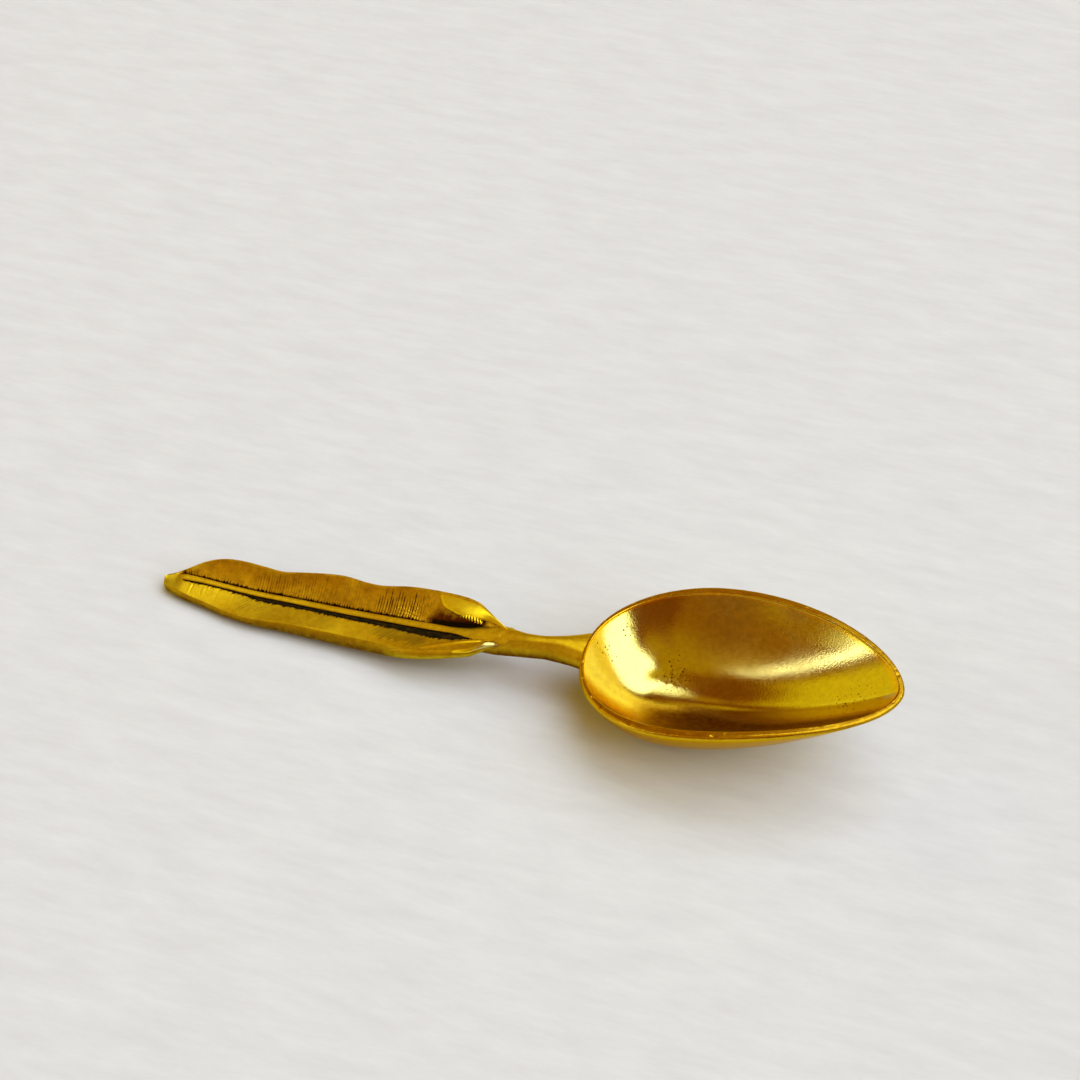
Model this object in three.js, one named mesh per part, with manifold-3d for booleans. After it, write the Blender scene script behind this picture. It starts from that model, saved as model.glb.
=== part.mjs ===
// Nut serving spoon in plated brass: a deep scoop bowl, a stem that runs on as the midrib of a leaf,
// and two leaf blades brazed along the midrib. It lies on a table as it would after use.
// Millimetres, +Z up from the table, +X from the leaf's tip to the bowl's tip, +Y to the far side.
import * as THREE from "three";
import { mergeVertices } from "three/addons/utils/BufferGeometryUtils.js";
import Module from "manifold-3d";

// Lengths along the spoon.
const LEAF_LENGTH = 71;
const STEM_LENGTH = 17.6;
const BOWL_LENGTH = 61.4;

// Bowl.
const BOWL_WIDTH = 38.2;
const BOWL_WIDEST = 23.6; // from the heel to the widest place
const HEEL_POWER = 2.15; // of the rim's outline: 2 is an ellipse, more is squarer
const TIP_POWER = 1.78;
const SIDE_WALL = 1.9;
const END_WALL = 1.1; // at heel and tip
const FLOOR = 2.6; // thickness at the belly, where the bowl is heaviest
const RIM_ROUND = 0.7;
const HEEL_RIM_HEIGHT = 11.3;
const TIP_RIM_HEIGHT = 21.2;
const RIM_EASE_IN = 1.4; // more keeps the rim low for longer at the heel
const RIM_EASE_OUT = 2.5; // more levels it sooner towards the tip
const BELLY_FROM_HEEL = 15; // the deepest place
const BELLY_FLAT = 4.2; // half width of the flat that the bowl rests on
const HEEL_FULLNESS = 2.2; // 1 is a straight slope, more is a fuller belly
const TIP_FULLNESS = 1.6;

// Stem and midrib.
const STEM_WIDTH = 4.7;
const STEM_DEPTH = 4.7;
const STEM_BELOW_RIM = 0.1; // step from the rim down to the foot's top
const STEM_BOW = 1.7; // how far the stem turns to the far side by the time it meets the heel
const FOOT_WIDTH = 8.4; // at the heel, before the foot spreads along the wall
const FOOT_DEPTH = 5.3;
const FLARE_LENGTH = 5;
const FLARE_POWER = 2; // more keeps the stem slim for longer
const FOOT_OVERRUN = 4; // length of foot past the heel, before it is cut to the wall
const FOOT_SPREAD = 1.25; // length past the heel over which the foot still widens
const RIB_TIP_WIDTH = 1.1;
const RIB_BASE_WIDTH = 1.9;
const RIB_START = 3.2; // from the leaf's tip to the end of the midrib
const RIB_EDGE = 0.2; // bevel along the midrib's top
const KEEL_TIP_WIDTH = 2.8;
const KEEL_BASE_WIDTH = 4.4;
const KEEL_DEPTH = 2.9; // from the midrib's top to the keel's underside
const LEAF_END_TOP = 9.2; // height of the midrib's top where the leaf ends
const LEAF_BOW = 2.8; // power of the curve by which the leaf rises towards the stem
const SWELL_LENGTH = 13; // over which the midrib thickens into the stem

// Leaf blades.
const LEAF_WIDTH = 17.8;
const BLADE_RISE = 1.6; // margin above the midrib's top
const MARGIN_DEPTH = 2.7; // thickness of the cast margin
const MARGIN_ROUND = 0.6;
const GROOVE_WIDTH = 1.15; // between the midrib's side and the blade
const GROOVE_DEPTH = 0.9;
const SEAM_DIP = 0.12; // hollow along the top of the braze in the groove
const SHOULDER = 0.8; // width of the slope from groove to blade
const SEAT_DEPTH = 0.8; // thickness of the blade's inner edge
const TIP_SKEW = 1; // how far the leaf's tip turns to the near side
const TIP_ROUND = 6; // length of leaf that thins towards the tip
const BASE_ROUND = 5; // length of leaf that thins towards the stem
// Margins as [share of the leaf's length from the tip, share of half the leaf's width].
const FAR_MARGIN = [
  [0, -0.08], [0.042, 0.13], [0.1, 0.46], [0.165, 0.7], [0.338, 0.71],
  [0.479, 0.92], [0.62, 0.9], [0.775, 1.03], [0.887, 0.88], [1, 0.36],
];
const NEAR_MARGIN = [
  [0, 0.15], [0.035, 0.36], [0.085, 0.57], [0.17, 0.75], [0.296, 0.86],
  [0.465, 0.78], [0.634, 0.77], [0.775, 0.88], [0.887, 0.78], [1, 0.4],
];

// Folded ear at the far blade's base, and rolled lip at the near blade's base.
const EAR_LENGTH = 14.5;
const EAR_THICKNESS = 1;
const EAR_FOLD = 5; // reach of the fold from the margin towards the midrib
const EAR_ARCH = 0.5;
const EAR_LIFT = 0.35; // top of the ear above the margin
const LIP_LENGTH = 13;
const LIP_WIDTH = 2;
const LIP_LIFT = 0.5; // top of the lip above the margin
const BASE_STEP = 0.7; // blade left beyond the end of its ear or lip

// Gaps and braze.
const SEAT_GAP = 0.35; // between the keel's ledge and the blade that sits on it
const PIECE_GAP = 0.3; // between neighbours elsewhere
const BRAZE_SIZE = 0.9; // thickness of the fillet round the foot

// Smoothness.
const BOWL_SIDES = 72;
const WALL_STEPS = 9;
const RIM_STEPS = 5;
const STEM_STEPS = 46;
const FOOT_STEPS = 10;
const BLADE_STEPS = 54;
const EAR_STEPS = 12;

const overallLength = LEAF_LENGTH + STEM_LENGTH + BOWL_LENGTH;
const tipX = -overallLength / 2;
const leafEndX = tipX + LEAF_LENGTH;
const heelX = leafEndX + STEM_LENGTH;
const bellyX = heelX + BELLY_FROM_HEEL;
const flatShare = BELLY_FLAT / (BOWL_WIDTH / 2);
const ribStartX = tipX + RIB_START;
const swellX = leafEndX - SWELL_LENGTH;
const ledgeDepth = GROOVE_DEPTH + SEAT_DEPTH + SEAT_GAP;
const footTop = HEEL_RIM_HEIGHT - STEM_BELOW_RIM;

const wasm = await Module();
wasm.setup();

const { clamp, lerp, smoothstep } = THREE.MathUtils;
const signedPower = (value, power) => Math.sign(value) * Math.abs(value) ** power;

// Closed skin over rings that all have the same number of points, capped at both ends.
function skin(rings) {
  const count = rings[0].length;
  const points = rings.flat();
  const faces = [];
  for (let row = 0; row < rings.length - 1; row += 1) {
    for (let i = 0; i < count; i += 1) {
      const a = row * count + i;
      const b = row * count + (i + 1) % count;
      faces.push(a, b, b + count, a, b + count, a + count);
    }
  }
  const last = (rings.length - 1) * count;
  const cap = capFaces(rings[0]);
  const endCap = capFaces(rings[rings.length - 1]);
  cap.forEach(([a, b, c]) => faces.push(a, c, b));
  endCap.forEach(([a, b, c]) => faces.push(last + a, last + b, last + c));
  const geometry = new THREE.BufferGeometry();
  geometry.setAttribute("position", new THREE.Float32BufferAttribute(points.flatMap((p) => p.toArray()), 3));
  geometry.setIndex(faces);
  return outwards(geometry);
}

// Triangles of an end ring. A ring across the spoon is laid out in Y and Z, a level one in X and Y.
function capFaces(ring) {
  const box = new THREE.Box3().setFromPoints(ring);
  const across = box.max.x - box.min.x < 1e-6;
  const flat = ring.map((p) => (across ? new THREE.Vector2(p.y, p.z) : new THREE.Vector2(p.x, p.y)));
  const faces = THREE.ShapeUtils.triangulateShape(flat, []);
  return THREE.ShapeUtils.isClockWise(flat) ? faces.map(([a, b, c]) => [a, c, b]) : faces;
}

// Turns the faces round if they look inwards.
function outwards(geometry) {
  const place = geometry.getAttribute("position");
  const index = geometry.getIndex().array;
  const corner = (i) => new THREE.Vector3().fromBufferAttribute(place, index[i]);
  let volume = 0;
  for (let i = 0; i < index.length; i += 3) {
    volume += corner(i).dot(corner(i + 1).cross(corner(i + 2)));
  }
  if (volume < 0) {
    const turned = [];
    for (let i = 0; i < index.length; i += 3) {
      turned.push(index[i], index[i + 2], index[i + 1]);
    }
    geometry.setIndex(turned);
  }
  return geometry;
}

function solid(geometry) {
  const merged = mergeVertices(geometry, 1e-5);
  return new wasm.Manifold(new wasm.Mesh({
    numProp: 3,
    vertProperties: new Float32Array(merged.getAttribute("position").array),
    triVerts: new Uint32Array(merged.getIndex().array),
  }));
}

function geometryOf(body) {
  const mesh = body.getMesh();
  const geometry = new THREE.BufferGeometry();
  geometry.setAttribute("position", new THREE.BufferAttribute(new Float32Array(mesh.vertProperties), 3));
  geometry.setIndex(new THREE.BufferAttribute(new Uint32Array(mesh.triVerts), 1));
  return geometry;
}

// Bowl: contours that shrink from the rim's outline to the belly. "thin" is a share of the wall taken
// off the outline: 0 outside, 1 inside.

function rimOutline(angle, thin, gap) {
  const towardsTip = Math.cos(angle) >= 0;
  const reach = (towardsTip ? BOWL_LENGTH - BOWL_WIDEST : BOWL_WIDEST) - thin * END_WALL + gap;
  const power = 2 / (towardsTip ? TIP_POWER : HEEL_POWER);
  return new THREE.Vector2(
    heelX + BOWL_WIDEST + reach * signedPower(Math.cos(angle), power),
    (BOWL_WIDTH / 2 - thin * SIDE_WALL + gap) * signedPower(Math.sin(angle), power),
  );
}

// The rim is low and level at the heel, rises along the sides and levels again at the tip.
function rimHeight(x) {
  const share = clamp((x - heelX) / BOWL_LENGTH, 0, 1);
  return lerp(HEEL_RIM_HEIGHT, TIP_RIM_HEIGHT, 1 - (1 - share ** RIM_EASE_IN) ** RIM_EASE_OUT);
}

// One contour: "share" is 1 at the rim and shrinks towards the belly, "drop" lies below the rim's top.
function bowlRing(share, thin, gap, drop) {
  const climb = Math.max(0, (share - flatShare) / (1 - flatShare));
  const floor = thin * FLOOR - gap;
  return Array.from({ length: BOWL_SIDES }, (_, i) => {
    const angle = (i * 2 * Math.PI) / BOWL_SIDES;
    const rim = rimOutline(angle, thin, gap);
    const fullness = lerp(HEEL_FULLNESS, TIP_FULLNESS, (1 + Math.cos(angle)) / 2);
    const z = lerp(floor, rimHeight(rim.x) - drop, climb ** fullness);
    return new THREE.Vector3(lerp(bellyX, rim.x, share), rim.y * share, z);
  });
}

function wallRings(thin, gap) {
  return Array.from({ length: WALL_STEPS + 1 }, (_, i) => (
    bowlRing(lerp(flatShare, 1, i / WALL_STEPS), thin, gap, RIM_ROUND)
  ));
}

function bowlShell() {
  const rim = [];
  for (let i = 1; i < RIM_STEPS; i += 1) {
    const turn = (Math.PI * i) / RIM_STEPS;
    rim.push(bowlRing(1, (1 - Math.cos(turn)) / 2, 0, RIM_ROUND * (1 - Math.sin(turn))));
  }
  return skin([...wallRings(0, 0), ...rim, ...wallRings(1, 0).reverse()]);
}

// The bowl's outside grown by a gap, up to the rim or past it, for cutting the pieces that meet it.
function bowlBlock(gap, pastRim) {
  const above = pastRim ? [bowlRing(1, 0, gap, -STEM_DEPTH)] : [];
  return solid(skin([...wallRings(0, gap), ...above]));
}

// Stem and midrib: one bar with its sections across the spoon.

const stemShare = (x) => clamp((x - leafEndX) / STEM_LENGTH, 0, 1);

function ribTop(x) {
  const share = clamp((x - tipX) / LEAF_LENGTH, 0, 1);
  const rise = LEAF_END_TOP - KEEL_DEPTH;
  if (x <= leafEndX) {
    return KEEL_DEPTH + rise * share ** LEAF_BOW;
  }
  // Past the leaf the line leaves at the same slope and levels off towards the foot.
  const along = stemShare(x);
  const slope = ((rise * LEAF_BOW) / LEAF_LENGTH) * STEM_LENGTH;
  return LEAF_END_TOP + slope * along + (footTop - LEAF_END_TOP - slope) * along ** 2;
}

const swell = (x) => smoothstep(x, swellX, leafEndX);
const flareMost = 1 + FOOT_SPREAD / FLARE_LENGTH;
const flare = (x) => clamp((x - heelX + FLARE_LENGTH) / FLARE_LENGTH, 0, flareMost) ** FLARE_POWER;

function ribHalf(x) {
  const share = clamp((x - tipX) / (swellX - tipX), 0, 1);
  return lerp(lerp(RIB_TIP_WIDTH, RIB_BASE_WIDTH, share), STEM_WIDTH, swell(x)) / 2;
}

// Half of a section, from the top's middle round to the underside's middle, as [out, down].
function stemHalf(x, grow) {
  const taper = Math.sqrt(clamp((x - ribStartX) / RIB_START, 0.12, 1));
  const share = clamp((x - tipX) / (swellX - tipX), 0, 1);
  const rib = ribHalf(x) * taper + grow;
  const keel = (lerp(KEEL_TIP_WIDTH, KEEL_BASE_WIDTH, share) / 2) * taper + grow;
  const ledge = ledgeDepth - grow;
  const bottom = KEEL_DEPTH + grow;
  const leafSide = [
    [0, -grow], [rib * 0.75, -grow], [rib, RIB_EDGE - grow], [rib, ledge], [keel, ledge],
    [keel, lerp(ledge, bottom, 0.35)], [keel * 0.85, lerp(ledge, bottom, 0.75)], [keel * 0.5, bottom], [0, bottom],
  ];
  const width = lerp(STEM_WIDTH, FOOT_WIDTH, flare(x)) / 2 + grow;
  const depth = lerp(STEM_DEPTH, FOOT_DEPTH, flare(x)) / 2 + grow;
  return leafSide.map(([out, down], i) => {
    const turn = (i * Math.PI) / (leafSide.length - 1);
    const roundOut = width * Math.sin(turn);
    const roundDown = depth - grow - depth * Math.cos(turn);
    return [lerp(out, roundOut, swell(x)), lerp(down, roundDown, swell(x))];
  });
}

function stemRing(x, grow) {
  const top = ribTop(x);
  const half = stemHalf(x, grow);
  const near = half.slice(1, -1).reverse().map(([out, down]) => [-out, down]);
  const turned = STEM_BOW * stemShare(x) ** 2;
  return [...half, ...near].map(([out, down]) => new THREE.Vector3(x, turned + out, top - down));
}

// The bar's foot runs on into the bowl's wall, and is cut to fit it afterwards.
function stemBar(grow) {
  const flareX = heelX - FLARE_LENGTH;
  const footEndX = heelX + FOOT_OVERRUN;
  const rings = [];
  for (let i = 0; i <= STEM_STEPS; i += 1) {
    rings.push(stemRing(lerp(ribStartX, flareX, i / STEM_STEPS), grow));
  }
  for (let i = 1; i <= FOOT_STEPS; i += 1) {
    rings.push(stemRing(lerp(flareX, footEndX, i / FOOT_STEPS), grow));
  }
  return solid(skin(rings));
}

// Leaf blades. "side" is 1 for the far blade and -1 for the near one.

function marginCurve(table) {
  const curve = new THREE.SplineCurve(table.map(([along, out]) => (
    new THREE.Vector2(tipX + along * LEAF_LENGTH, (out * LEAF_WIDTH) / 2)
  )));
  return curve.getPoints(160);
}

const marginLines = { 1: marginCurve(FAR_MARGIN), "-1": marginCurve(NEAR_MARGIN) };

function marginOut(side, x) {
  const line = marginLines[side];
  const next = clamp(line.findIndex((p) => p.x >= x), 1, line.length - 1);
  const [a, b] = [line[next - 1], line[next]];
  return lerp(a.y, b.y, clamp((x - a.x) / (b.x - a.x), 0, 1));
}

// Inner edge of a blade: beside the groove, or at the seam where the blades meet beyond the midrib.
function bladeInner(side, x) {
  const beyond = clamp((ribStartX - x) / RIB_START, 0, 1);
  const open = smoothstep(x, tipX, ribStartX + RIB_START);
  const groove = lerp(GROOVE_WIDTH, PIECE_GAP, swell(x));
  return lerp(PIECE_GAP / 2, ribHalf(x) + groove, open) - side * TIP_SKEW * beyond;
}

const baseThin = (x) => Math.sqrt(clamp((leafEndX - x) / BASE_ROUND, 0.2, 1));

function marginRise(x) {
  return BLADE_RISE * Math.sqrt(clamp((x - tipX) / (2 * TIP_ROUND), 0.02, 1)) * baseThin(x);
}

function bladeRing(side, x) {
  const top = ribTop(x);
  const thin = Math.sqrt(clamp((x - tipX) / TIP_ROUND, 0.1, 1)) * baseThin(x);
  const inner = bladeInner(side, x);
  const outer = Math.max(marginOut(side, x), inner + MARGIN_ROUND);
  const shoulder = inner + Math.min(SHOULDER, (outer - inner) * 0.3);
  const round = Math.min(MARGIN_ROUND, (outer - inner) * 0.2);
  const crest = top + marginRise(x);
  const low = top - GROOVE_DEPTH * thin;
  const face = top - GROOVE_DEPTH * 0.4 * thin;
  const depth = MARGIN_DEPTH * thin;
  const brow = outer - round;
  return [
    [inner, low],
    [shoulder, face],
    [lerp(shoulder, brow, 0.35), lerp(face, crest, 0.28)],
    [lerp(shoulder, brow, 0.7), lerp(face, crest, 0.66)],
    [brow, crest],
    [outer, crest - round],
    [outer, crest - depth + round],
    [brow, crest - depth],
    [lerp(shoulder, brow, 0.5), lerp(low - SEAT_DEPTH * thin, crest - depth, 0.45)],
    [inner, low - SEAT_DEPTH * thin],
  ].map(([out, z]) => new THREE.Vector3(x, side * out, z));
}

function bladePlate(side) {
  return solid(skin(Array.from({ length: BLADE_STEPS + 1 }, (_, i) => (
    bladeRing(side, lerp(tipX, leafEndX, i / BLADE_STEPS))
  ))));
}

// Far ear: a flap that folds from the margin over the groove, rounded at its leaf end.
function farEar() {
  const startX = leafEndX - EAR_LENGTH;
  const rings = [];
  for (let i = 0; i <= EAR_STEPS; i += 1) {
    const share = i / EAR_STEPS;
    const x = lerp(startX, leafEndX - BASE_STEP, share);
    const open = Math.sqrt(clamp(share * 3.5, 0.06, 1));
    const outer = Math.max(marginOut(1, x), bladeInner(1, x) + MARGIN_ROUND) - MARGIN_ROUND * 0.4;
    const reach = Math.min(EAR_FOLD, Math.max(outer - ribHalf(x) - GROOVE_WIDTH, 2 * MARGIN_ROUND)) * open;
    const top = ribTop(x) + marginRise(x) + EAR_LIFT;
    const lip = outer - reach;
    rings.push([
      [outer, top - EAR_LIFT - MARGIN_ROUND],
      [lerp(outer, lip, 0.2), top],
      [lerp(outer, lip, 0.55), top + EAR_ARCH * open],
      [lerp(outer, lip, 0.85), top + EAR_ARCH * 0.4 * open],
      [lip, top - EAR_THICKNESS * 0.5],
      [lerp(outer, lip, 0.9), top - EAR_THICKNESS],
      [lerp(outer, lip, 0.5), top - EAR_THICKNESS + EAR_ARCH * 0.6 * open],
      [lerp(outer, lip, 0.15), top - EAR_LIFT - MARGIN_DEPTH * 0.6],
    ].map(([out, z]) => new THREE.Vector3(x, out, z)));
  }
  return solid(skin(rings));
}

// Near lip: the margin rolled up and in, running out at both ends.
function nearLip() {
  const startX = leafEndX - LIP_LENGTH;
  const sides = 10;
  const rings = [];
  for (let i = 0; i <= EAR_STEPS; i += 1) {
    const share = i / EAR_STEPS;
    const x = lerp(startX, leafEndX - BASE_STEP, share);
    const full = Math.sqrt(clamp(4 * share * (1.06 - share), 0.08, 1));
    const outer = Math.max(marginOut(-1, x), bladeInner(-1, x) + MARGIN_ROUND);
    const half = (LIP_WIDTH / 2) * full;
    const middle = ribTop(x) + marginRise(x) + LIP_LIFT * full - half;
    rings.push(Array.from({ length: sides }, (_, k) => {
      const turn = (k * 2 * Math.PI) / sides;
      return new THREE.Vector3(x, -(outer - half) + half * Math.cos(turn), middle + half * Math.sin(turn));
    }));
  }
  return solid(skin(rings));
}

// Braze seam on the keel's ledge, between the midrib's side and the blade.
function grooveSeam(side) {
  const startX = ribStartX + RIB_START;
  const steps = Math.round(BLADE_STEPS / 2);
  return skin(Array.from({ length: steps + 1 }, (_, i) => {
    const x = lerp(startX, swellX, i / steps);
    const inner = ribHalf(x) + PIECE_GAP;
    const outer = ribHalf(x) + GROOVE_WIDTH - PIECE_GAP;
    const floor = ribTop(x) - ledgeDepth + PIECE_GAP;
    const top = ribTop(x) - GROOVE_DEPTH;
    return [[inner, floor], [outer, floor], [outer, top], [lerp(inner, outer, 0.5), top - SEAM_DIP], [inner, top]]
      .map(([out, z]) => new THREE.Vector3(x, side * out, z));
  }));
}

const bowlCut = bowlBlock(PIECE_GAP, true);
const stemBody = stemBar(0).subtract(bowlCut);
const stemCut = stemBar(PIECE_GAP);
const farBody = bladePlate(1).add(farEar()).subtract(stemCut);
const nearBody = bladePlate(-1).add(nearLip()).subtract(stemCut);
const filletBody = stemBar(PIECE_GAP + BRAZE_SIZE)
  .intersect(bowlBlock(PIECE_GAP + BRAZE_SIZE, false))
  .subtract(stemCut)
  .subtract(bowlCut);

const gold = { color: 0xd0a017, metalness: 1 };
const spoon = new THREE.Group();
spoon.name = "nut_serving_spoon";

function addPiece(name, geometry, finish) {
  const mesh = new THREE.Mesh(geometry, new THREE.MeshStandardMaterial(finish));
  mesh.name = name;
  spoon.add(mesh);
}

addPiece("bowl", bowlShell(), { ...gold, roughness: 0.28 });
addPiece("stem_and_midrib", geometryOf(stemBody), { ...gold, roughness: 0.24 });
addPiece("far_leaf_blade", geometryOf(farBody), { ...gold, roughness: 0.3 });
addPiece("near_leaf_blade", geometryOf(nearBody), { ...gold, roughness: 0.26 });
addPiece("heel_braze", geometryOf(filletBody), { color: 0xb98a12, metalness: 1, roughness: 0.35 });
addPiece("far_groove_braze", grooveSeam(1), { color: 0x2a2012, metalness: 0.6, roughness: 0.6 });
addPiece("near_groove_braze", grooveSeam(-1), { color: 0x2a2012, metalness: 0.6, roughness: 0.6 });

export default spoon;
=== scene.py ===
# %% [markdown]
# # Nut serving spoon
# The real spoon is gold-plated brass: a deep scoop bowl, a short stem, and a leaf for a handle. The CAD
# solids already give the frame, the sizes and the places. Each solid now gets a finer skin: smooth walls,
# a rounded rim, the fine cross lines of the leaf, and the dark patina that stays in its grooves. The
# first cell loads the solids.

# %% Load the CAD frame
import bpy
import math
import random
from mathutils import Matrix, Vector, noise


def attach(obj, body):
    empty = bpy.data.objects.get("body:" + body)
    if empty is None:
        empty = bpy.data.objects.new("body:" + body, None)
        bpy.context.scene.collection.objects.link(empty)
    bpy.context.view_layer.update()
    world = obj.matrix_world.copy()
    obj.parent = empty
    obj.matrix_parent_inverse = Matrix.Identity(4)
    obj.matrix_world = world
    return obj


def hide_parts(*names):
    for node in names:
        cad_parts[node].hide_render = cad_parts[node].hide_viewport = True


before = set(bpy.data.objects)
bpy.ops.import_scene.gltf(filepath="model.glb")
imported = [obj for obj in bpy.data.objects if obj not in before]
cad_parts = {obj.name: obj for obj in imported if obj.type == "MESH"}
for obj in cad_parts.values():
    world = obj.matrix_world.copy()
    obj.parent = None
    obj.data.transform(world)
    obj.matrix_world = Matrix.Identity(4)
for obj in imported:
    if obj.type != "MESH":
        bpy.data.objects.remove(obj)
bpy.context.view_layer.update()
MM = 0.001

# %% [markdown]
# ## Soft steps
# Metal that was filed and polished by hand has no sharp changes, so nearly every size and every trace of
# wear below fades from one value to another. At a screen one would use proportional editing. Here a few
# small functions do it, because a fade with a name can be read and changed later. Lengths are in
# millimetres until a mesh is made.

# %% Fades
def lerp(a, b, t):
    """The value that lies a share t of the way from a to b."""
    return a + (b - a) * t


def clamp(v, low=0.0, high=1.0):
    return max(low, min(high, v))


def smooth(v, low, high):
    """0 at low and 1 at high, with gentle ends. If low is the larger one, it falls instead of rising."""
    t = clamp((v - low) / (high - low))
    return t * t * (3 - 2 * t)


def between(v, start, full, fading, end):
    """1 from full to fading, and gently down to 0 at start and at end."""
    return smooth(v, start, full) * smooth(v, end, fading)


print("a soft step, a quarter of the way along:", smooth(0.25, 0, 1))

# %% [markdown]
# ## A skin rolled from a grid
# Bowl, stem and leaf blade are all closed skins whose section changes along their length. By hand one
# would extrude a ring again and again and push each copy into shape. A grid primitive gives all the rings
# at once: its rows become the sections, the seam is merged, and the open ends are filled. The same grid
# carries three layers, so that patina, polish and pitting lie where the shape says, and go with the mesh
# when it is exported. Besides real wear, the patina layer also carries painted shade, and the polish
# layer carries painted highlights.

# %% Rolled grid
WEAR_AND_PAINTED_LIGHT_LAYERS = ("patina", "polish_and_sheen", "pitting")
MERGE_DISTANCE = 1e-8
SMOOTH_ANGLE = math.radians(60)


def lay_rows(mesh, rows, around, place):
    """Puts row r, column c at place(r, c): the spot in millimetres, then the wear and painted light
    there, 0 to 1.
    """
    spots = [place(*divmod(i, around)) for i in range(rows * around)]
    laid = [spots[r * around + c % around] for r in range(rows) for c in range(around + 1)]
    for vertex, spot in zip(mesh.vertices, laid):
        vertex.co = Vector(spot[:3]) * MM
    for number, layer in enumerate(WEAR_AND_PAINTED_LIGHT_LAYERS, 3):
        values = mesh.attributes.new(layer, "FLOAT", "POINT").data
        for value, spot in zip(values, laid):
            value.value = spot[number] if len(spot) > number else 0


def close_skin():
    """Merges the seam of the active piece, fills its open ends and turns its faces outwards."""
    bpy.ops.object.mode_set(mode="EDIT")
    bpy.ops.mesh.select_all(action="SELECT")
    bpy.ops.mesh.remove_doubles(threshold=MERGE_DISTANCE)
    bpy.ops.mesh.select_all(action="DESELECT")
    bpy.ops.mesh.select_non_manifold(extend=False, use_wire=False, use_multi_face=False,
                                     use_non_contiguous=False, use_verts=False)
    bpy.ops.mesh.fill_holes(sides=0)
    bpy.ops.mesh.select_all(action="SELECT")
    bpy.ops.mesh.normals_make_consistent(inside=False)
    bpy.ops.object.mode_set(mode="OBJECT")
    bpy.ops.object.shade_smooth_by_angle(angle=SMOOTH_ANGLE)


def rolled_grid(name, rows, around, place):
    """A closed skin from rows of points, each row a ring of `around` points."""
    bpy.ops.object.select_all(action="DESELECT")
    bpy.ops.mesh.primitive_grid_add(x_subdivisions=around, y_subdivisions=rows - 1, size=1)
    piece = bpy.context.object
    piece.name = name
    piece.data.name = name
    lay_rows(piece.data, rows, around, place)
    close_skin()
    print(name, "faces:", len(piece.data.polygons))
    return piece


print("every skin carries:", ", ".join(WEAR_AND_PAINTED_LIGHT_LAYERS))

# %% [markdown]
# ## Bowl: outline of the rim
# Seen from above, the rim is an egg that is squarer at the heel and more pointed at the tip. Seen from
# the side, it starts low at the heel and rises to the tip. It could be drawn as a bezier curve. Powers of
# an ellipse need fewer numbers, and one formula then gives the outer and the inner edge.

# %% Rim outline
HEEL_X, BOWL_LENGTH, BOWL_HALF, BOWL_Y = 13.6, 61.4, 19.0, 0.25
WIDEST = 23.6  # from the heel to the widest place
HEEL_POWER, TIP_POWER = 2.15, 1.78  # 2 is an ellipse, more is squarer
SIDE_WALL, HEEL_WALL, TIP_WALL = 1.8, 0.75, 1.0
HEEL_RIM, TIP_RIM = 11.3, 21.2  # heights over the table
RIM_EASE_IN, RIM_EASE_OUT = 1.4, 2.5  # how long the rim stays low, and how soon it levels out


def rim_point(angle, thin):
    """A point of the rim: thin is 0 at its outer edge and 1 at its inner edge."""
    c, s = math.cos(angle), math.sin(angle)
    tip_side = c >= 0
    reach = BOWL_LENGTH - WIDEST - thin * TIP_WALL if tip_side else WIDEST - thin * HEEL_WALL
    power = 2 / (TIP_POWER if tip_side else HEEL_POWER)
    x = HEEL_X + WIDEST + reach * math.copysign(abs(c) ** power, c)
    y = (BOWL_HALF - thin * SIDE_WALL) * math.copysign(abs(s) ** power, s)
    share = clamp((x - HEEL_X) / BOWL_LENGTH)
    return x, y, lerp(HEEL_RIM, TIP_RIM, 1 - (1 - share**RIM_EASE_IN) ** RIM_EASE_OUT)


print("rim height at heel and tip in mm:", [round(rim_point(a, 0)[2], 1) for a in (math.pi, 0)])

# %% [markdown]
# ## Bowl: outside
# The outside rises from a small flat, on which the spoon rests, to just under the rim. It is full and
# steep at the heel and runs out gently at the tip. A sculpted sphere could give that, but each ring here
# is simply the rim drawn in towards the belly, and one power says how full the climb is.

# %% Bowl outside
BOWL_SIDES, OUTSIDE_ROWS = 540, 40
RIM_OUTER, RIM_INNER = 0.75, 0.25  # heights of the rim's outer round and of its inner corner
BELLY_X, BELLY_FLAT = 28.6, 4.2
FLAT_SHARE = BELLY_FLAT / BOWL_HALF
HEEL_FULLNESS, TIP_FULLNESS, SIDE_FULLNESS = 2.3, 1.65, 0.3


def bowl_outside(angle, share):
    """A point of the outside, with share 0 at the belly's middle and 1 under the rim."""
    x, y, top = rim_point(angle, 0)
    towards_tip = (1 + math.cos(angle)) / 2
    fullness = lerp(HEEL_FULLNESS, TIP_FULLNESS, towards_tip) + SIDE_FULLNESS * abs(math.sin(angle))
    climb = clamp((share - FLAT_SHARE) / (1 - FLAT_SHARE)) ** fullness
    return lerp(BELLY_X, x, share), BOWL_Y + y * share, (top - RIM_OUTER) * climb


print("flat under the belly in mm:", 2 * BELLY_FLAT)

# %% [markdown]
# ## Uneven metal
# A cast and hand-polished wall is never quite true, and that is what bends its reflections. A bump map
# changes only the shading. Noise in the mesh itself is in the exported piece too, so two helpers read
# Blender's own noise: one as hills in millimetres, one as a plain speckle that can be longer than wide.

# %% Hills and speckle
def wobble(x, y, z, size, height):
    """Hills about `size` mm apart and `height` mm high."""
    return height * noise.noise(Vector((x / size, y / size, z / size)))


def speckle(x, y, layer, long, wide):
    """Noise from about -1 to 1, with spots of these sizes. Each layer has its own pattern."""
    return noise.noise(Vector((x / long, y / wide, layer)))


print("a hill of the metal in mm:", round(wobble(10, 5, 0, 9, 0.07), 3))
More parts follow.
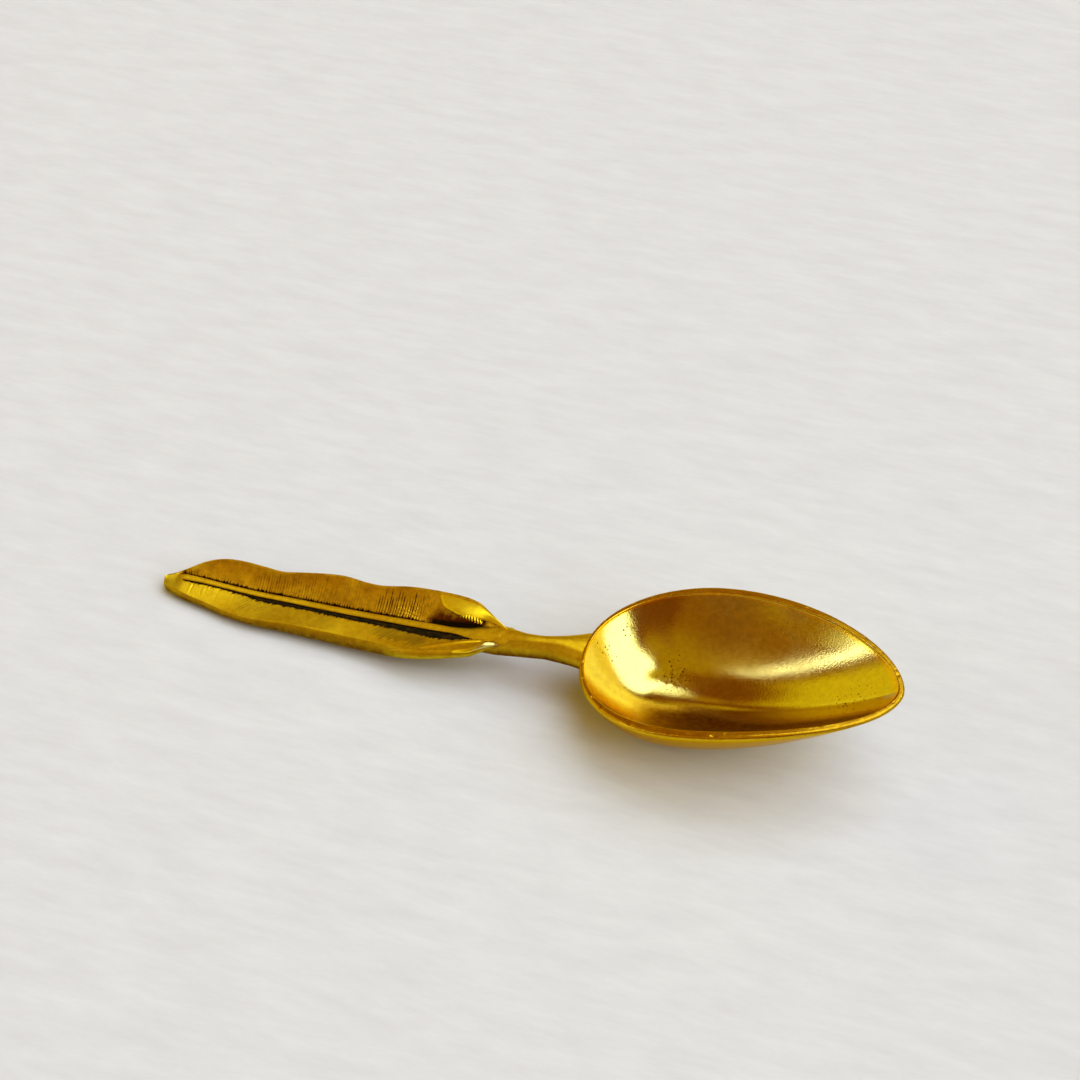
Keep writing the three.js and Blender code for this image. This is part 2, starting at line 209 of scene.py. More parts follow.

# %% [markdown]
# ## Bowl: rim
# The rim has a full round outside, a narrow flat, and a crisp inner corner that catches the light. A
# bevel modifier would make both corners alike, so the section is written as two quarter turns with a flat
# between them. Small nicks come with it. The flat is darkened as painted shade, more towards the tip,
# and broken painted glints run along the inner corner.

# %% Rim
RIM_ROWS = 21
OUTER_SHARE, INNER_SHARE = 0.42, 0.14  # of the rim's width
OUTER_STEPS, INNER_STEPS = 0.5, 0.3  # of the way over the rim
RIM_HILLS, RIM_HILL_HEIGHT = 6, 0.08
NICK_SIZE, NICK_DEPTH = 0.8, 0.12
RIM_SHADE_HEEL, RIM_SHADE_TIP = 0.3, 0.5
GLINT_SIZE, RIM_PITTING = 2.5, 0.4


def rim_section(step):
    """Share across the rim and drop below its top, for a step from 0 outside to 1 inside."""
    turn = math.pi / 2 * clamp(step / OUTER_STEPS)
    back = math.pi / 2 * clamp((1 - step) / INNER_STEPS)
    flat = (1 - OUTER_SHARE - INNER_SHARE) * smooth(step, OUTER_STEPS, 1 - INNER_STEPS)
    across = OUTER_SHARE * (1 - math.cos(turn)) + flat + INNER_SHARE * math.cos(back)
    return across, RIM_OUTER * (1 - math.sin(turn)) + RIM_INNER * (1 - math.sin(back))


def bowl_rim(angle, step):
    """A point of the rim with its painted shade, painted glints and pitting."""
    across, drop = rim_section(step)
    x, y, top = rim_point(angle, across)
    nick = NICK_DEPTH * smooth(speckle(x, y, 7, NICK_SIZE, NICK_SIZE), 0.3, 0.6)
    uneven = (wobble(x, y, 9, RIM_HILLS, RIM_HILL_HEIGHT) - nick) * math.sin(math.pi * across)
    # Painted shade on the rim's flat, more towards the tip.
    rim_shade = lerp(RIM_SHADE_HEEL, RIM_SHADE_TIP, smooth(x, 55, 68)) * smooth(across, 0.95, 0.8)
    # Painted glints: the paler polished colour in broken bits along the inner corner.
    glint = smooth(speckle(x, y, 4, GLINT_SIZE, GLINT_SIZE), 0.05, 0.3) * smooth(across, 0.86, 0.95)
    return x, BOWL_Y + y, top - drop + uneven, rim_shade, glint, RIM_PITTING


print("middle of the rim, share across and drop:", [round(v, 2) for v in rim_section(0.5)])

# %% [markdown]
# ## Bowl: painted shade and pits in the hollow
# The heel and the middle of the hollow are left bright. The near wall is darkened brown as painted shade,
# the far wall gets a thinner painted shade in loose patches, and casting pits sit in a few loose groups.
# It could be painted by hand in texture paint. Written as fades over the place, it needs no image and
# follows the wall if the bowl changes.

# %% Painted shade on the walls, and pits
# x, y, size and strength of each group
PITTED = [(30.5, 4.5, 5, 1.0), (66, -2, 6, 0.9), (50, 15, 7, 0.55), (40, 16, 6, 0.6), (17, 3, 3, 0.9),
          (20, 9, 3, 0.9)]
# Where the near wall's painted shade lies
WALL_SHADE_SETS_IN, WALL_SHADE_TURNS = (23, 31), (36, 50)  # along the bowl: its start, and where heel turns to tip
HEEL_WALL_SHADE_Y, TIP_WALL_SHADE_Y = (-1, 4), (2.8, 6.5)  # how far to the near side it starts and is full
HEEL_WALL_SHADE_UP, TIP_WALL_SHADE_UP = (0.08, 0.3), (0.3, 0.5)  # how far up the wall it starts and is full
# The far wall's painted shade: loose patches and one blotch
FAR_WALL_SHADE, FAR_WALL_SHADE_LONG, FAR_WALL_SHADE_WIDE = 0.3, 8, 5
BLOTCH, BLOTCH_X, BLOTCH_SIZE = 0.32, 39, 8


def pits_at(x, y):
    """How densely the wall is pitted here, 0 to 1."""
    return max(much * math.exp(-math.hypot(x - px, y - py) ** 2 / size**2)
               for px, py, size, much in PITTED)


def near_wall_shade_at(x, y, share):
    """How strongly the near wall is darkened brown here as painted shade, 0 to 1."""
    tipward = smooth(x, *WALL_SHADE_TURNS)
    side_from, side_to = [lerp(a, b, tipward) for a, b in zip(HEEL_WALL_SHADE_Y, TIP_WALL_SHADE_Y)]
    up_from, up_to = [lerp(a, b, tipward) for a, b in zip(HEEL_WALL_SHADE_UP, TIP_WALL_SHADE_UP)]
    return smooth(-y, side_from, side_to) * smooth(x, *WALL_SHADE_SETS_IN) * smooth(share, up_from, up_to)


def far_wall_shade_at(x, y):
    """The far wall's thin brown painted shade, in loose patches and one blotch, 0 to 1."""
    cloud = FAR_WALL_SHADE * smooth(speckle(x, y, 11, FAR_WALL_SHADE_LONG, FAR_WALL_SHADE_WIDE), 0, 0.5) * smooth(x, 58, 50)
    blotch = BLOTCH * math.exp(-((x - BLOTCH_X) / BLOTCH_SIZE) ** 2)
    return max(cloud, blotch) * smooth(y, 6, 11)


print("film on the near wall at mid length:", round(near_wall_shade_at(42, -12, 0.8), 2))

# %% [markdown]
# ## Bowl: hollow
# The hollow falls from the rim's inner corner to a floor that is thicker than the walls, as in a casting.
# A Solidify modifier would give one thickness everywhere, so the inside has its own rings and its own
# curve. Slow hills and a rough patch at the pits make the reflections wander as they do on the real wall.

# %% Hollow
HOLLOW_ROWS = 116
HOLLOW_X, FLOOR, HOLLOW_FULLNESS = 27.4, 2.6, 2.05
# How dark the near wall's painted shade gets at the heel and at the tip
WALL_SHADE_AT_HEEL, WALL_SHADE_AT_TIP = 0.85, 0.87
SLOW_HILLS, FINE_HILLS, ROUGH_PATCH = (9, 0.07), (3, 0.009), (0.8, 0.035)  # size and height in mm


def hollow_hills(x, y, pitted):
    """How uneven the hollow is here, in mm: rougher where it is pitted."""
    rough = wobble(x, y, 7, *ROUGH_PATCH) * smooth(pitted, 0.6, 1)
    return wobble(x, y, 3, *SLOW_HILLS) + wobble(x, y, 5, *FINE_HILLS) + rough


def bowl_hollow(angle, share):
    """A point of the hollow, with share 0 at its lowest place and 1 at the rim's inner corner."""
    x, y, top = rim_point(angle, 1)
    x, y = lerp(HOLLOW_X, x, share), y * share
    pitted = pits_at(x, y)
    uneven = hollow_hills(x, y, pitted) * smooth(share, 1, 0.85)
    height = lerp(FLOOR, top - RIM_INNER, share**HOLLOW_FULLNESS) + uneven
    # The walls' painted shade goes into the patina layer; the rest of the hollow stays polished and
    # paler.
    painted_shade, cloud = near_wall_shade_at(x, y, share), far_wall_shade_at(x, y)
    heavy = lerp(WALL_SHADE_AT_TIP, WALL_SHADE_AT_HEEL, smooth(x, 52, 36))
    polish_and_sheen = (1 - max(painted_shade, cloud)) * smooth(share, 1, 0.97)
    return x, BOWL_Y + y, height, max(heavy * painted_shade, cloud), polish_and_sheen, pitted


print("floor of the hollow in mm over the table:", FLOOR)

# %% [markdown]
# ## Bowl: the skin
# The rings now run in one go: up the outside, over the rim and down into the hollow. One closed skin is
# better than two shells here, because the rim then has no seam.

# %% Bowl
def bowl_place(r, c):
    angle = 2 * math.pi * c / BOWL_SIDES
    if r < OUTSIDE_ROWS:
        return bowl_outside(angle, r / (OUTSIDE_ROWS - 1))
    r -= OUTSIDE_ROWS
    if r < RIM_ROWS:
        return bowl_rim(angle, (r + 1) / (RIM_ROWS + 1))
    return bowl_hollow(angle, 1 - (r - RIM_ROWS) / (HOLLOW_ROWS - 1))


bowl = rolled_grid("bowl_skin", OUTSIDE_ROWS + RIM_ROWS + HOLLOW_ROWS, BOWL_SIDES, bowl_place)

# %% [markdown]
# ## Stem and midrib: top line
# One bar makes the stem, the midrib of the leaf and the keel under it, as if it had been forged from one
# rod. Its top line starts at the leaf's nose, rises ever more steeply along the leaf, and runs over the
# stem to the bowl. The leaf blades and the seams hang on this line too, so it is a function of its own.

# %% Top line
TIP_X, LEAF_LENGTH, STEM_LENGTH = -75.0, 71.0, 17.6
LEAF_END = TIP_X + LEAF_LENGTH
KEEL, LEAF_END_TOP, FOOT_TOP = 2.9, 9.2, 11.2  # heights at the nose, the leaf's end and the foot
LEAF_BOW = 2.8  # power of the leaf's rise


def rib_top(x):
    rise = LEAF_END_TOP - KEEL
    if x <= LEAF_END:
        return KEEL + rise * clamp((x - TIP_X) / LEAF_LENGTH) ** LEAF_BOW
    along = clamp((x - LEAF_END) / STEM_LENGTH)
    slope = rise * LEAF_BOW / LEAF_LENGTH * STEM_LENGTH
    return LEAF_END_TOP + slope * along + (FOOT_TOP - LEAF_END_TOP - slope) * along**2


heights = [round(rib_top(x), 1) for x in (TIP_X, LEAF_END, HEEL_X)]
print("top line in mm at nose, leaf's end and foot:", heights)

# %% [markdown]
# ## Stem and midrib: edges of the rib
# The midrib is a narrow raised strip, a little crooked, that widens into the round stem. A few points say
# where its two edges run. By hand one would drag a bezier curve through them. The helper does the same
# with a smooth line through the points, and every margin of the leaf uses it later.

# %% Rib edges
STEM = 4.7  # thickness of the round stem
SWELL = (-13.0, -2.5)  # where the midrib thickens into the stem
RIB_FAR = [(-74, 0.5), (-71.5, 0.95), (-60, 0.85), (-56, 0.85), (-46, 1.2), (-38, 1.3), (-28, 1.3),
           (-20, 1.2), (-13, 0.9), (-4, 0.95)]
RIB_NEAR = [(-74, -0.9), (-70.6, -0.55), (-65, -0.3), (-55, -0.4), (-48, -0.2), (-38, -0.15),
            (-28, -0.2), (-20, -0.45), (-12, -0.75), (-4, -0.95)]


def through(points, x):
    """A smooth line through (x, y) points, read at x."""
    k = 1
    while k < len(points) - 2 and points[k + 1][0] < x:
        k += 1
    k = k if x >= points[k][0] else k - 1
    p0, p1 = points[max(k - 1, 0)], points[k]
    p2, p3 = points[k + 1], points[min(k + 2, len(points) - 1)]
    span = p2[0] - p1[0]
    t = clamp((x - p1[0]) / span)
    m1 = (p2[1] - p0[1]) / (p2[0] - p0[0]) * span
    m2 = (p3[1] - p1[1]) / (p3[0] - p1[0]) * span
    return ((2 * t**3 - 3 * t**2 + 1) * p1[1] + (t**3 - 2 * t**2 + t) * m1
            + (3 * t**2 - 2 * t**3) * p2[1] + (t**3 - t**2) * m2)


def rib_edges(x):
    """The bar's far and near edge, widening into the stem."""
    swell = smooth(x, *SWELL)
    return lerp(through(RIB_FAR, x), STEM / 2, swell), lerp(through(RIB_NEAR, x), -STEM / 2, swell)


print("midrib's width in mm at mid leaf:", round(rib_edges(-40)[0] - rib_edges(-40)[1], 2))

# %% [markdown]
# ## Stem and midrib: under the leaf
# Under the leaf the bar is a rib with upright sides and a wider keel below, on which the blades lie. Its
# sides stand in the grooves, where polish never reaches, so they are dark. The keel below is darkened
# less, as painted shade under the leaf. At the nose the keel runs out, hidden by the leaf.

# %% Section under the leaf
RIB_START, RIB_RUN_IN = -73.6, 3  # the bar's first end, and the length over which it reaches its width
KEEL_AT_TIP, KEEL_AT_BASE, KEEL_LENGTH = 1.4, 2.2, 60
KEEL_END, KEEL_RUN_OUT = 0.6, 5  # depth at the bar's first end, and the length to full depth
RIB_SIDE_DARK, KEEL_SHADE = 1, 0.4


def leaf_section(x):
    """Half a section from the top's middle to the keel's, as (share of the rib's half width, keel, down),
    and how far the bar has reached its full width here."""
    taper = math.sqrt(clamp((x - RIB_START) / RIB_RUN_IN, 0.1, 1))
    keel = lerp(KEEL_AT_TIP, KEEL_AT_BASE, clamp((x - TIP_X) / KEEL_LENGTH)) * taper
    section = [(0, 0, 0), (0.6, 0, 0.03), (0.88, 0, 0.12), (1, 0, 0.32), (1, 0, 1.9), (0, keel, 2.1),
               (0, keel, 2.35), (0, keel * 0.8, 2.75), (0, 0, KEEL)]
    return section, taper


def under_leaf(x, way):
    """Out, down and patina of the bar under the leaf, with way 0 on its top and 1 under its keel."""
    far, near = rib_edges(x)
    section, taper = leaf_section(x)
    along = way * (len(section) - 1)
    i = min(int(along), len(section) - 2)
    share, keel, down = [lerp(a, b, along - i) for a, b in zip(section[i], section[i + 1])]
    dark = smooth(down, 0.12, 0.35) * lerp(RIB_SIDE_DARK, KEEL_SHADE, smooth(down, 1.9, 2.1))
    deepest = lerp(KEEL_END, KEEL, smooth(x, RIB_START, RIB_START + KEEL_RUN_OUT))
    return share * ((far - near) / 2 * taper) + keel, min(down, deepest), dark * smooth(x, -73, -71.5)


print("keel under mid leaf, half width in mm:", round(leaf_section(-40)[0][5][1], 2))

# %% [markdown]
# ## Stem and midrib: round stem
# The stem is a rounded bar with a faint ridge filed along its shoulders. It is broader where it leaves
# the leaf and flares into a foot at the bowl. A cylinder with a tapered end would look turned on a lathe,
# so width, ridge and egg shape each fade along the bar.

# %% Round section
FOOT_WIDTH, FOOT_DEPTH, FLARE, FLARE_POWER = 8.4, 5.3, 8.0, 1.6
FLARE_LIMIT = 1.15  # the foot goes on widening a little past the heel
RIDGE, RIDGE_TURN, RIDGE_WIDTH, FAR_RIDGE = 0.055, 0.5, 0.16, 0.4
EGG, EGG_LENGTH = 0.3, 6
SHOULDER_WIDTH, SHOULDER_POWER = 1.3, 0.55


def round_stem(x, turn, side):
    """Out and down of the bar as a stem, with turn 0 on its top and pi below."""
    flare = clamp((x - HEEL_X + FLARE) / FLARE, 0, FLARE_LIMIT) ** FLARE_POWER
    width, depth = lerp(STEM, FOOT_WIDTH, flare) / 2, lerp(STEM, FOOT_DEPTH, flare) / 2
    much = 1 if side < 0 else FAR_RIDGE
    ridge = 1 + RIDGE * math.exp(-((turn - RIDGE_TURN) / RIDGE_WIDTH) ** 2) * smooth(x, -4, 0) * much
    egg = 1 - EGG * math.cos(turn) * smooth(x, HEEL_X, HEEL_X - EGG_LENGTH)
    broad = between(x, -11, -6.5, -3.5, 3) if side > 0 else 0
    bulge = math.sin(turn) ** lerp(1, SHOULDER_POWER, broad) if 0 < turn < math.pi else 0
    return (width * ridge * egg + SHOULDER_WIDTH * broad) * bulge, depth - depth * math.cos(turn) * ridge


print("stem's widest half at its middle in mm:", round(round_stem(5, math.pi / 2, -1)[0], 2))

# %% [markdown]
# ## Stem and midrib: foot on the bowl
# The foot ends on the bowl's wall. A boolean could cut it there, but it leaves a ragged edge. Instead
# each point that would go into the bowl stops just inside the wall, which is read from the bowl's own
# formula.

# %% Wall at the heel
FOOT_SEAT = 0.35  # how deep the foot's end sits in the wall


def wall_x(y, z):
    """Where the bowl's outside is at the heel, at this width and height."""
    y = clamp((y - BOWL_Y) / BOWL_HALF, -0.95, 0.95)
    angle = math.pi - math.asin(math.copysign(abs(y) ** (HEEL_POWER / 2), y))
    x, _, top = rim_point(angle, 0)
    fullness = HEEL_FULLNESS + SIDE_FULLNESS * abs(math.sin(angle))
    climb = clamp(z / (top - RIM_OUTER), 0.02, 1) ** (1 / fullness)
    return lerp(BELLY_X, x, FLAT_SHARE + (1 - FLAT_SHARE) * climb)


print("wall behind the foot's middle in mm:", round(wall_x(0, FOOT_TOP - FOOT_DEPTH / 2), 2))

# %% [markdown]
# ## Stem and midrib: the skin
# The two sections are blended along the bar, so that the rib swells into the stem without a joint. The
# stem also turns a little to the far side, has lumps where the leaf's folds were worked in, and its
# underside is darkened as painted shade.

# %% Stem
STEM_ROWS, STEM_ROUND = 320, 64
FOOT_OVERRUN, STEM_BOW, NOSE_SINK = 4.5, 1.7, 0.5
STEM_HILLS, STEM_HILL_HEIGHT = 4, 0.07
CREASE_HILLS, CREASE_HEIGHT = 1.1, 0.13
UNDERSIDE_SHADE = 0.78


def stem_place(r, c):
    x = lerp(RIB_START, HEEL_X + FOOT_OVERRUN, r / (STEM_ROWS - 1))
    half = STEM_ROUND // 2
    k, side = (c, 1) if c <= half else (STEM_ROUND - c, -1)
    turn = math.pi * k / half
    swell = smooth(x, *SWELL)
    leaf_out, leaf_down, dark = under_leaf(x, k / half)
    stem_out, stem_down = round_stem(x, turn, side)
    out, down = lerp(leaf_out, stem_out, swell), lerp(leaf_down, stem_down, swell)
    lump = wobble(x, side * out, down, STEM_HILLS, STEM_HILL_HEIGHT) * swell
    lump += wobble(x, side * out, down, CREASE_HILLS, CREASE_HEIGHT) * between(x, -8, -6, -2, 1.5)
    bow = STEM_BOW * clamp((x - LEAF_END) / STEM_LENGTH) ** 2
    y = bow + sum(rib_edges(x)) / 2 * (1 - swell) + side * (out + lump)
    z = rib_top(x) - NOSE_SINK * smooth(x, -70.5, -73) - down + lump
    # Painted shade on the stem's underside
    dull = UNDERSIDE_SHADE * smooth(turn, 1.1, 1.9) * swell
    return min(x, wall_x(y, z) + FOOT_SEAT), y, z, max(dark * (1 - swell), dull)


stem = rolled_grid("stem_skin", STEM_ROWS, STEM_ROUND, stem_place)

# %% [markdown]
# ## Leaf blades: margins
# Each blade starts in the groove beside the midrib, climbs a small shoulder and spreads to a wavy margin.
# The far blade is tilted up. The near blade lies nearly flat, has a fuller round edge, and wraps the
# leaf's nose. All these lines are cast by hand and follow no formula, so each is a short list of points:
# the place along the leaf, and the distance from the middle or the height.

# %% Margins
FAR_MARGIN = [(-74.2, -0.3), (-73.4, 0.3), (-72.4, 1.0), (-69.9, 2.35), (-67.7, 3.9), (-65.6, 4.9),
              (-63.2, 5.45), (-59.8, 5.5), (-55.4, 5.3), (-50.9, 5.1), (-47.6, 5.8), (-42.6, 6.8),
              (-38.1, 7.2), (-33.5, 6.6), (-30, 6.5), (-25.3, 7.3), (-21.5, 7.5), (-15.3, 7.1),
              (-9.8, 6.1), (-7.9, 5.2), (-5.9, 4.0), (-3.8, 2.9)]
FAR_INNER = [(-74.2, -0.75), (-73, -0.1), (-72, 0.6), (-71, 1.0), (-60, 1.05), (-56, 1.05), (-46, 1.45),
             (-38, 1.55), (-28, 1.55), (-20, 1.45), (-13, 1.15), (-8, 1.3), (-4, 1.8)]
FAR_RISE = [(-72.6, -0.25), (-71.6, 0.2), (-69.5, 1.1), (-65.6, 1.9), (-60, 2.7), (-56, 2.8),
            (-13, 2.8), (-9.8, 2.4), (-7.9, 1.8), (-5.9, 1.2), (-3.8, 0.4)]
NEAR_MARGIN = [(-74.6, 1.25), (-74.5, 1.6), (-74.2, 1.95), (-73.4, 2.45), (-72.3, 2.8), (-69.7, 3.5),
               (-64.2, 4.5), (-59.4, 5.5), (-55.2, 5.95), (-51, 5.75), (-47, 5.4), (-41.2, 5.3),
               (-36.3, 5.2), (-32.7, 5.25), (-27.4, 5.45), (-22.6, 6.05), (-19.7, 6.2), (-15, 5.7),
               (-9.1, 4.6), (-5.9, 3.7), (-4, 2.9)]
NEAR_INNER = [(-74.6, 1.0), (-74.5, 0.75), (-74.2, 0.3), (-73.6, -0.2), (-72.8, -0.75), (-72.2, -1.05),
              (-71.6, -0.5), (-71.1, 0.1), (-70.6, 0.45), (-69, 0.5), (-65, 0.35), (-60, 0.45),
              (-57, 0.6), (-54, 1.05), (-48.6, 0.9), (-41.5, 0.75), (-34.3, 0.95), (-27, 1.15),
              (-21, 1.65), (-15.5, 2.1), (-12, 1.9), (-9, 1.35), (-7, 1.3), (-4, 1.6)]
NEAR_SLOPE = [(-75, -0.3), (-70, -0.36), (-66, -0.4), (-60, -0.4), (-50, 0.0), (-43, 0.2), (-34, -0.1),
              (-26, -0.1), (-19, 0.2), (-4, 0.3)]
NEAR_ROUND = [(-74.6, 0.3), (-74.2, 0.55), (-73, 0.7), (-70, 0.75), (-60, 0.65), (-55, 0.7),
              (-50, 0.95), (-45, 1.1), (-35, 1.25), (-27, 1.3), (-20, 1.1), (-14, 1.0), (-8, 0.9),
              (-4, 0.7)]
print("leaf's width at mid leaf in mm:", round(through(FAR_MARGIN, -40) + through(NEAR_MARGIN, -40), 1))

# %% [markdown]
# ## Leaf blades: cross lines
# Fine lines run out from the midrib, like the barbs of a feather. They were cut by hand, so no two are
# equally deep or long. A texture could show them, but the light catches a real cut better, so the mesh
# has enough rows to sink each line. The random numbers have a fixed seed, which gives the same leaf on
# every run.

# %% Cross lines
LINES, LINE_PITCH, LINE_SEED = 400, 0.56, 7
NEAR_LINE_SLANT = 0.9  # the near lines lean by this much for each mm out
FAR_REACH, NEAR_REACH = (0.3, 0.75), (0.45, 0.45)  # least reach over the face, and what length adds
FAR_LINE_WIDTH, NEAR_LINE_WIDTH, LINE_FADE = 0.2, 0.22, 0.25
rng = random.Random(LINE_SEED)
line_strength = [rng.uniform(0.6, 1.0) for _ in range(LINES)]
line_length = [rng.uniform(0.5, 1.0) for _ in range(LINES)]
line_shift = [rng.uniform(-0.15, 0.15) for _ in range(LINES)]


def line_zone(side, x):
    """How strong the cross lines are at this place along the leaf, 0 to 1."""
    if side > 0:
        faint = 0.5 * smooth(x, -58, -54) * (1 - 0.55 * smooth(x, -44, -40))
        return max(faint, smooth(x, -32, -29)) * (1 - 0.75 * smooth(x, -22.5, -20)) * smooth(x, -15, -18)
    return max(0.35 * between(x, -60, -57, -51, -47), between(x, -30, -27, -19, -16))


def cross_line(side, x, out, face_t):
    """Depth of the cut here, and strength of the dark comb at its root, both 0 to 1."""
    line = (x if side > 0 else x + NEAR_LINE_SLANT * out) / LINE_PITCH
    index = int(math.floor(line)) % LINES
    off_middle = line - math.floor(line) - 0.5 - line_shift[index]
    length = line_length[index]
    least, more = FAR_REACH if side > 0 else NEAR_REACH
    reach = least + more * length
    narrow = math.exp(-(off_middle / (FAR_LINE_WIDTH if side > 0 else NEAR_LINE_WIDTH)) ** 2)
    return line_strength[index] * narrow * smooth(face_t, reach, reach - LINE_FADE), length * narrow


print("cross lines that fit along the leaf:", round(LEAF_LENGTH / LINE_PITCH))

# %% [markdown]
# ## Leaf blades: section
# A blade's section is a face, a rounded edge and an underside. The face starts at the groove's floor and
# climbs a shoulder, the edge is a half round, and the underside runs back to the midrib. Both ends thin
# out, so that the blade closes without a blunt wall.

# %% Blade section
FAR_START, NEAR_START = -72.6, -74.6
GROOVE_DEPTH, GROOVE_AT_NOSE, GROOVE_OPENS = 1.0, 0.35, (-72.6, -70.8)
NEAR_STEP, FAR_STEP = 0.2, 0.3  # how far a face starts below the midrib's top
FAR_STRAIGHT, FAR_CURVED = 0.45, 0.55  # shares of the far face's rise
EAR_HOLLOW, EAR_HOLLOW_EASE = 1.1, 1.4  # depth of the hollow under the ear, and how soon it ends
FAR_EDGE, FAR_EDGE_LEAST, FAR_OVERHANG = 0.6, 0.08, 0.74
LEAST_FACE = 0.15  # width of a face where the blade runs out
RAGGED, FINE_RAGGED = (0.5, 0.2), (0.2, 0.1)  # of the near groove's edge, size and height in mm
BLADE_RUN_IN, BLADE_RUN_OUT, END_SLACK = 1.2, 4, 0.3


def blade_face(side, x, t):
    """Height of a face over the midrib's top line, with t 0 at the shoulder and 1 at the margin."""
    if side < 0:
        return -NEAR_STEP + through(NEAR_SLOPE, x) * t
    step = FAR_STEP * smooth(x, -74, -68)
    height = -step + (through(FAR_RISE, x) + step) * (FAR_STRAIGHT * t + FAR_CURVED * t * t)
    return height - EAR_HOLLOW * between(x, -24, -15, -9, LEAF_END) * (1 - t) ** EAR_HOLLOW_EASE


def blade_section(side, x):
    """Inner edge, brow, edge radius, groove's floor, and thickness beside the groove."""
    start = FAR_START if side > 0 else NEAR_START
    inner = through(FAR_INNER if side > 0 else NEAR_INNER, x)
    brow = through(FAR_MARGIN if side > 0 else NEAR_MARGIN, x)
    if side > 0:
        radius = FAR_EDGE * smooth(x, -74.5, -69) + FAR_EDGE_LEAST
        brow -= radius * FAR_OVERHANG
    else:
        radius = through(NEAR_ROUND, x)
        inner += (wobble(x, 0, 0, *RAGGED) + wobble(x, 0, 4, *FINE_RAGGED)) * smooth(x, -71, -69)
    ends = math.sqrt(clamp((LEAF_END + END_SLACK - x) / BLADE_RUN_OUT, 0.1, 1))
    thin = math.sqrt(clamp((x - start) / BLADE_RUN_IN, 0.05, 1)) * ends
    low = -lerp(GROOVE_AT_NOSE, GROOVE_DEPTH, smooth(x, *GROOVE_OPENS)) * thin
    return inner, max(brow, inner + LEAST_FACE), radius * ends, low, thin


print("far margin over the midrib in mm at mid leaf:", round(blade_face(1, -40, 1), 2))

# %% [markdown]
# ## Leaf blades: patina
# Dark patina was rubbed over the leaf and wiped off again. It stays at the roots of the far lines as a
# comb and along the near groove as short fibres. The hollow under the ear is solid black: patina, with
# painted shadow under the ear. The near face is darkened as painted shade over most of its length, less
# over a middle stretch, and its nose is darkened as painted shade too. All of this is kept as a number
# from 0 to 1 on each point, and the material turns it into colour.

# %% Patina of the faces
ROOT, ROOT_BY_LINE, ROOT_BY_TOOTH = 0.15, 0.55, 0.7  # reach of the far roots in mm
FIBRE_ROOT, FIBRE_REACH = 0.1, 0.95  # reach of the near fibres in mm
NEAR_SHADE, NOSE_SHADE = 0.32, 0.5


def far_patina(x, out, across, comb):
    teeth = clamp(2.4 * speckle(x, out, 1.7, 0.2, 3) + 0.3)
    reach = (ROOT + ROOT_BY_LINE * comb + ROOT_BY_TOOTH * teeth) * smooth(x, -72.2, -71.2) + 0.01
    roots = smooth(across, reach, reach * 0.45) * smooth(x, *GROOVE_OPENS)
    # The hollow under the ear: patina, with painted shadow under the ear
    hollow = smooth(x, -20.5, -17.8) * smooth(out, lerp(2.6, 6.0, smooth(x, -21, -17)), 2.2)
    return max(roots, hollow * smooth(x, -6.5, -8))


def near_patina(x, out, across):
    fibre = clamp(2.6 * speckle(x + NEAR_LINE_SLANT * out, out, 3.3, 0.24, 2) + 0.25)
    reach = (FIBRE_ROOT + FIBRE_REACH * fibre) * smooth(x, -71.5, -70.5) + 0.01
    # Painted shade on the near face and on its nose
    shade = NEAR_SHADE * smooth(x, -62, -54) * (1 - 0.6 * between(x, -39, -35, -25, -19))
    return max(smooth(across, reach, reach * 0.5), shade, NOSE_SHADE * smooth(x, -69.5, -72))


print("patina in the near groove:", near_patina(-40, 1, 0))

# %% [markdown]
# ## Leaf blades: the skins
# Face, edge and underside now become one ring of points, row by row along the leaf. The rows stand closer
# together at the nose, where the blade turns quickly. The near margin's round edge is darkened brown as
# painted shade, less towards the leaf's base, and the undersides get painted shade too.

# %% Blade points
FAR_SHOULDER, NEAR_SHOULDER, SHOULDER_SHARE = 0.5, 0.4, 0.4  # widths, and the most of a narrow face
FACE_CROWDING = 1.25  # points stand closer at the groove
NEAR_EDGE_EGG, UNDER_DROP = 0.4, 0.9
LINE_DEPTH, FAR_LINE_DARK, NEAR_LINE_DARK = 0.06, 1.25, 2.2
FACE_HILLS, FACE_HILL_HEIGHT = 5, 0.07
ROUGH_GRAIN, ROUGH_HEIGHT = 0.33, 0.1  # of the rough spot beside the ear
MARGIN_SHADE, MARGIN_LOW_SHADE, BASE_SHADE, BLADE_UNDER_SHADE = 0.5, 0.32, 0.55, 0.45


def face_point(side, x, t):
    """Out, height and patina of a face, with t 0 at the groove and 1 at the brow."""
    inner, brow, _, low, _ = blade_section(side, x)
    shoulder = min(FAR_SHOULDER if side > 0 else NEAR_SHOULDER, SHOULDER_SHARE * (brow - inner))
    out = lerp(inner, brow, t**FACE_CROWDING)
    across = out - inner
    step = smooth(across, 0, shoulder)
    face_t = clamp((across - shoulder) / max(brow - inner - shoulder, 0.01))
    cut, comb = cross_line(side, x, out, face_t)
    cut *= line_zone(side, x) * step
    height = lerp(low, blade_face(side, x, face_t), step) - LINE_DEPTH * cut
    height += wobble(x, side * out, 2, FACE_HILLS, FACE_HILL_HEIGHT) * step * face_t
    if side < 0:
        return out, height, max(near_patina(x, out, across), clamp(NEAR_LINE_DARK * cut))
    rough = between(x, -27, -25.5, -22, -20.5) * smooth(face_t, 0.65, 0.4) * step
    height += wobble(x, out, 1, ROUGH_GRAIN, ROUGH_HEIGHT) * rough
    return out, height, max(far_patina(x, out, across, comb), clamp(FAR_LINE_DARK * cut))


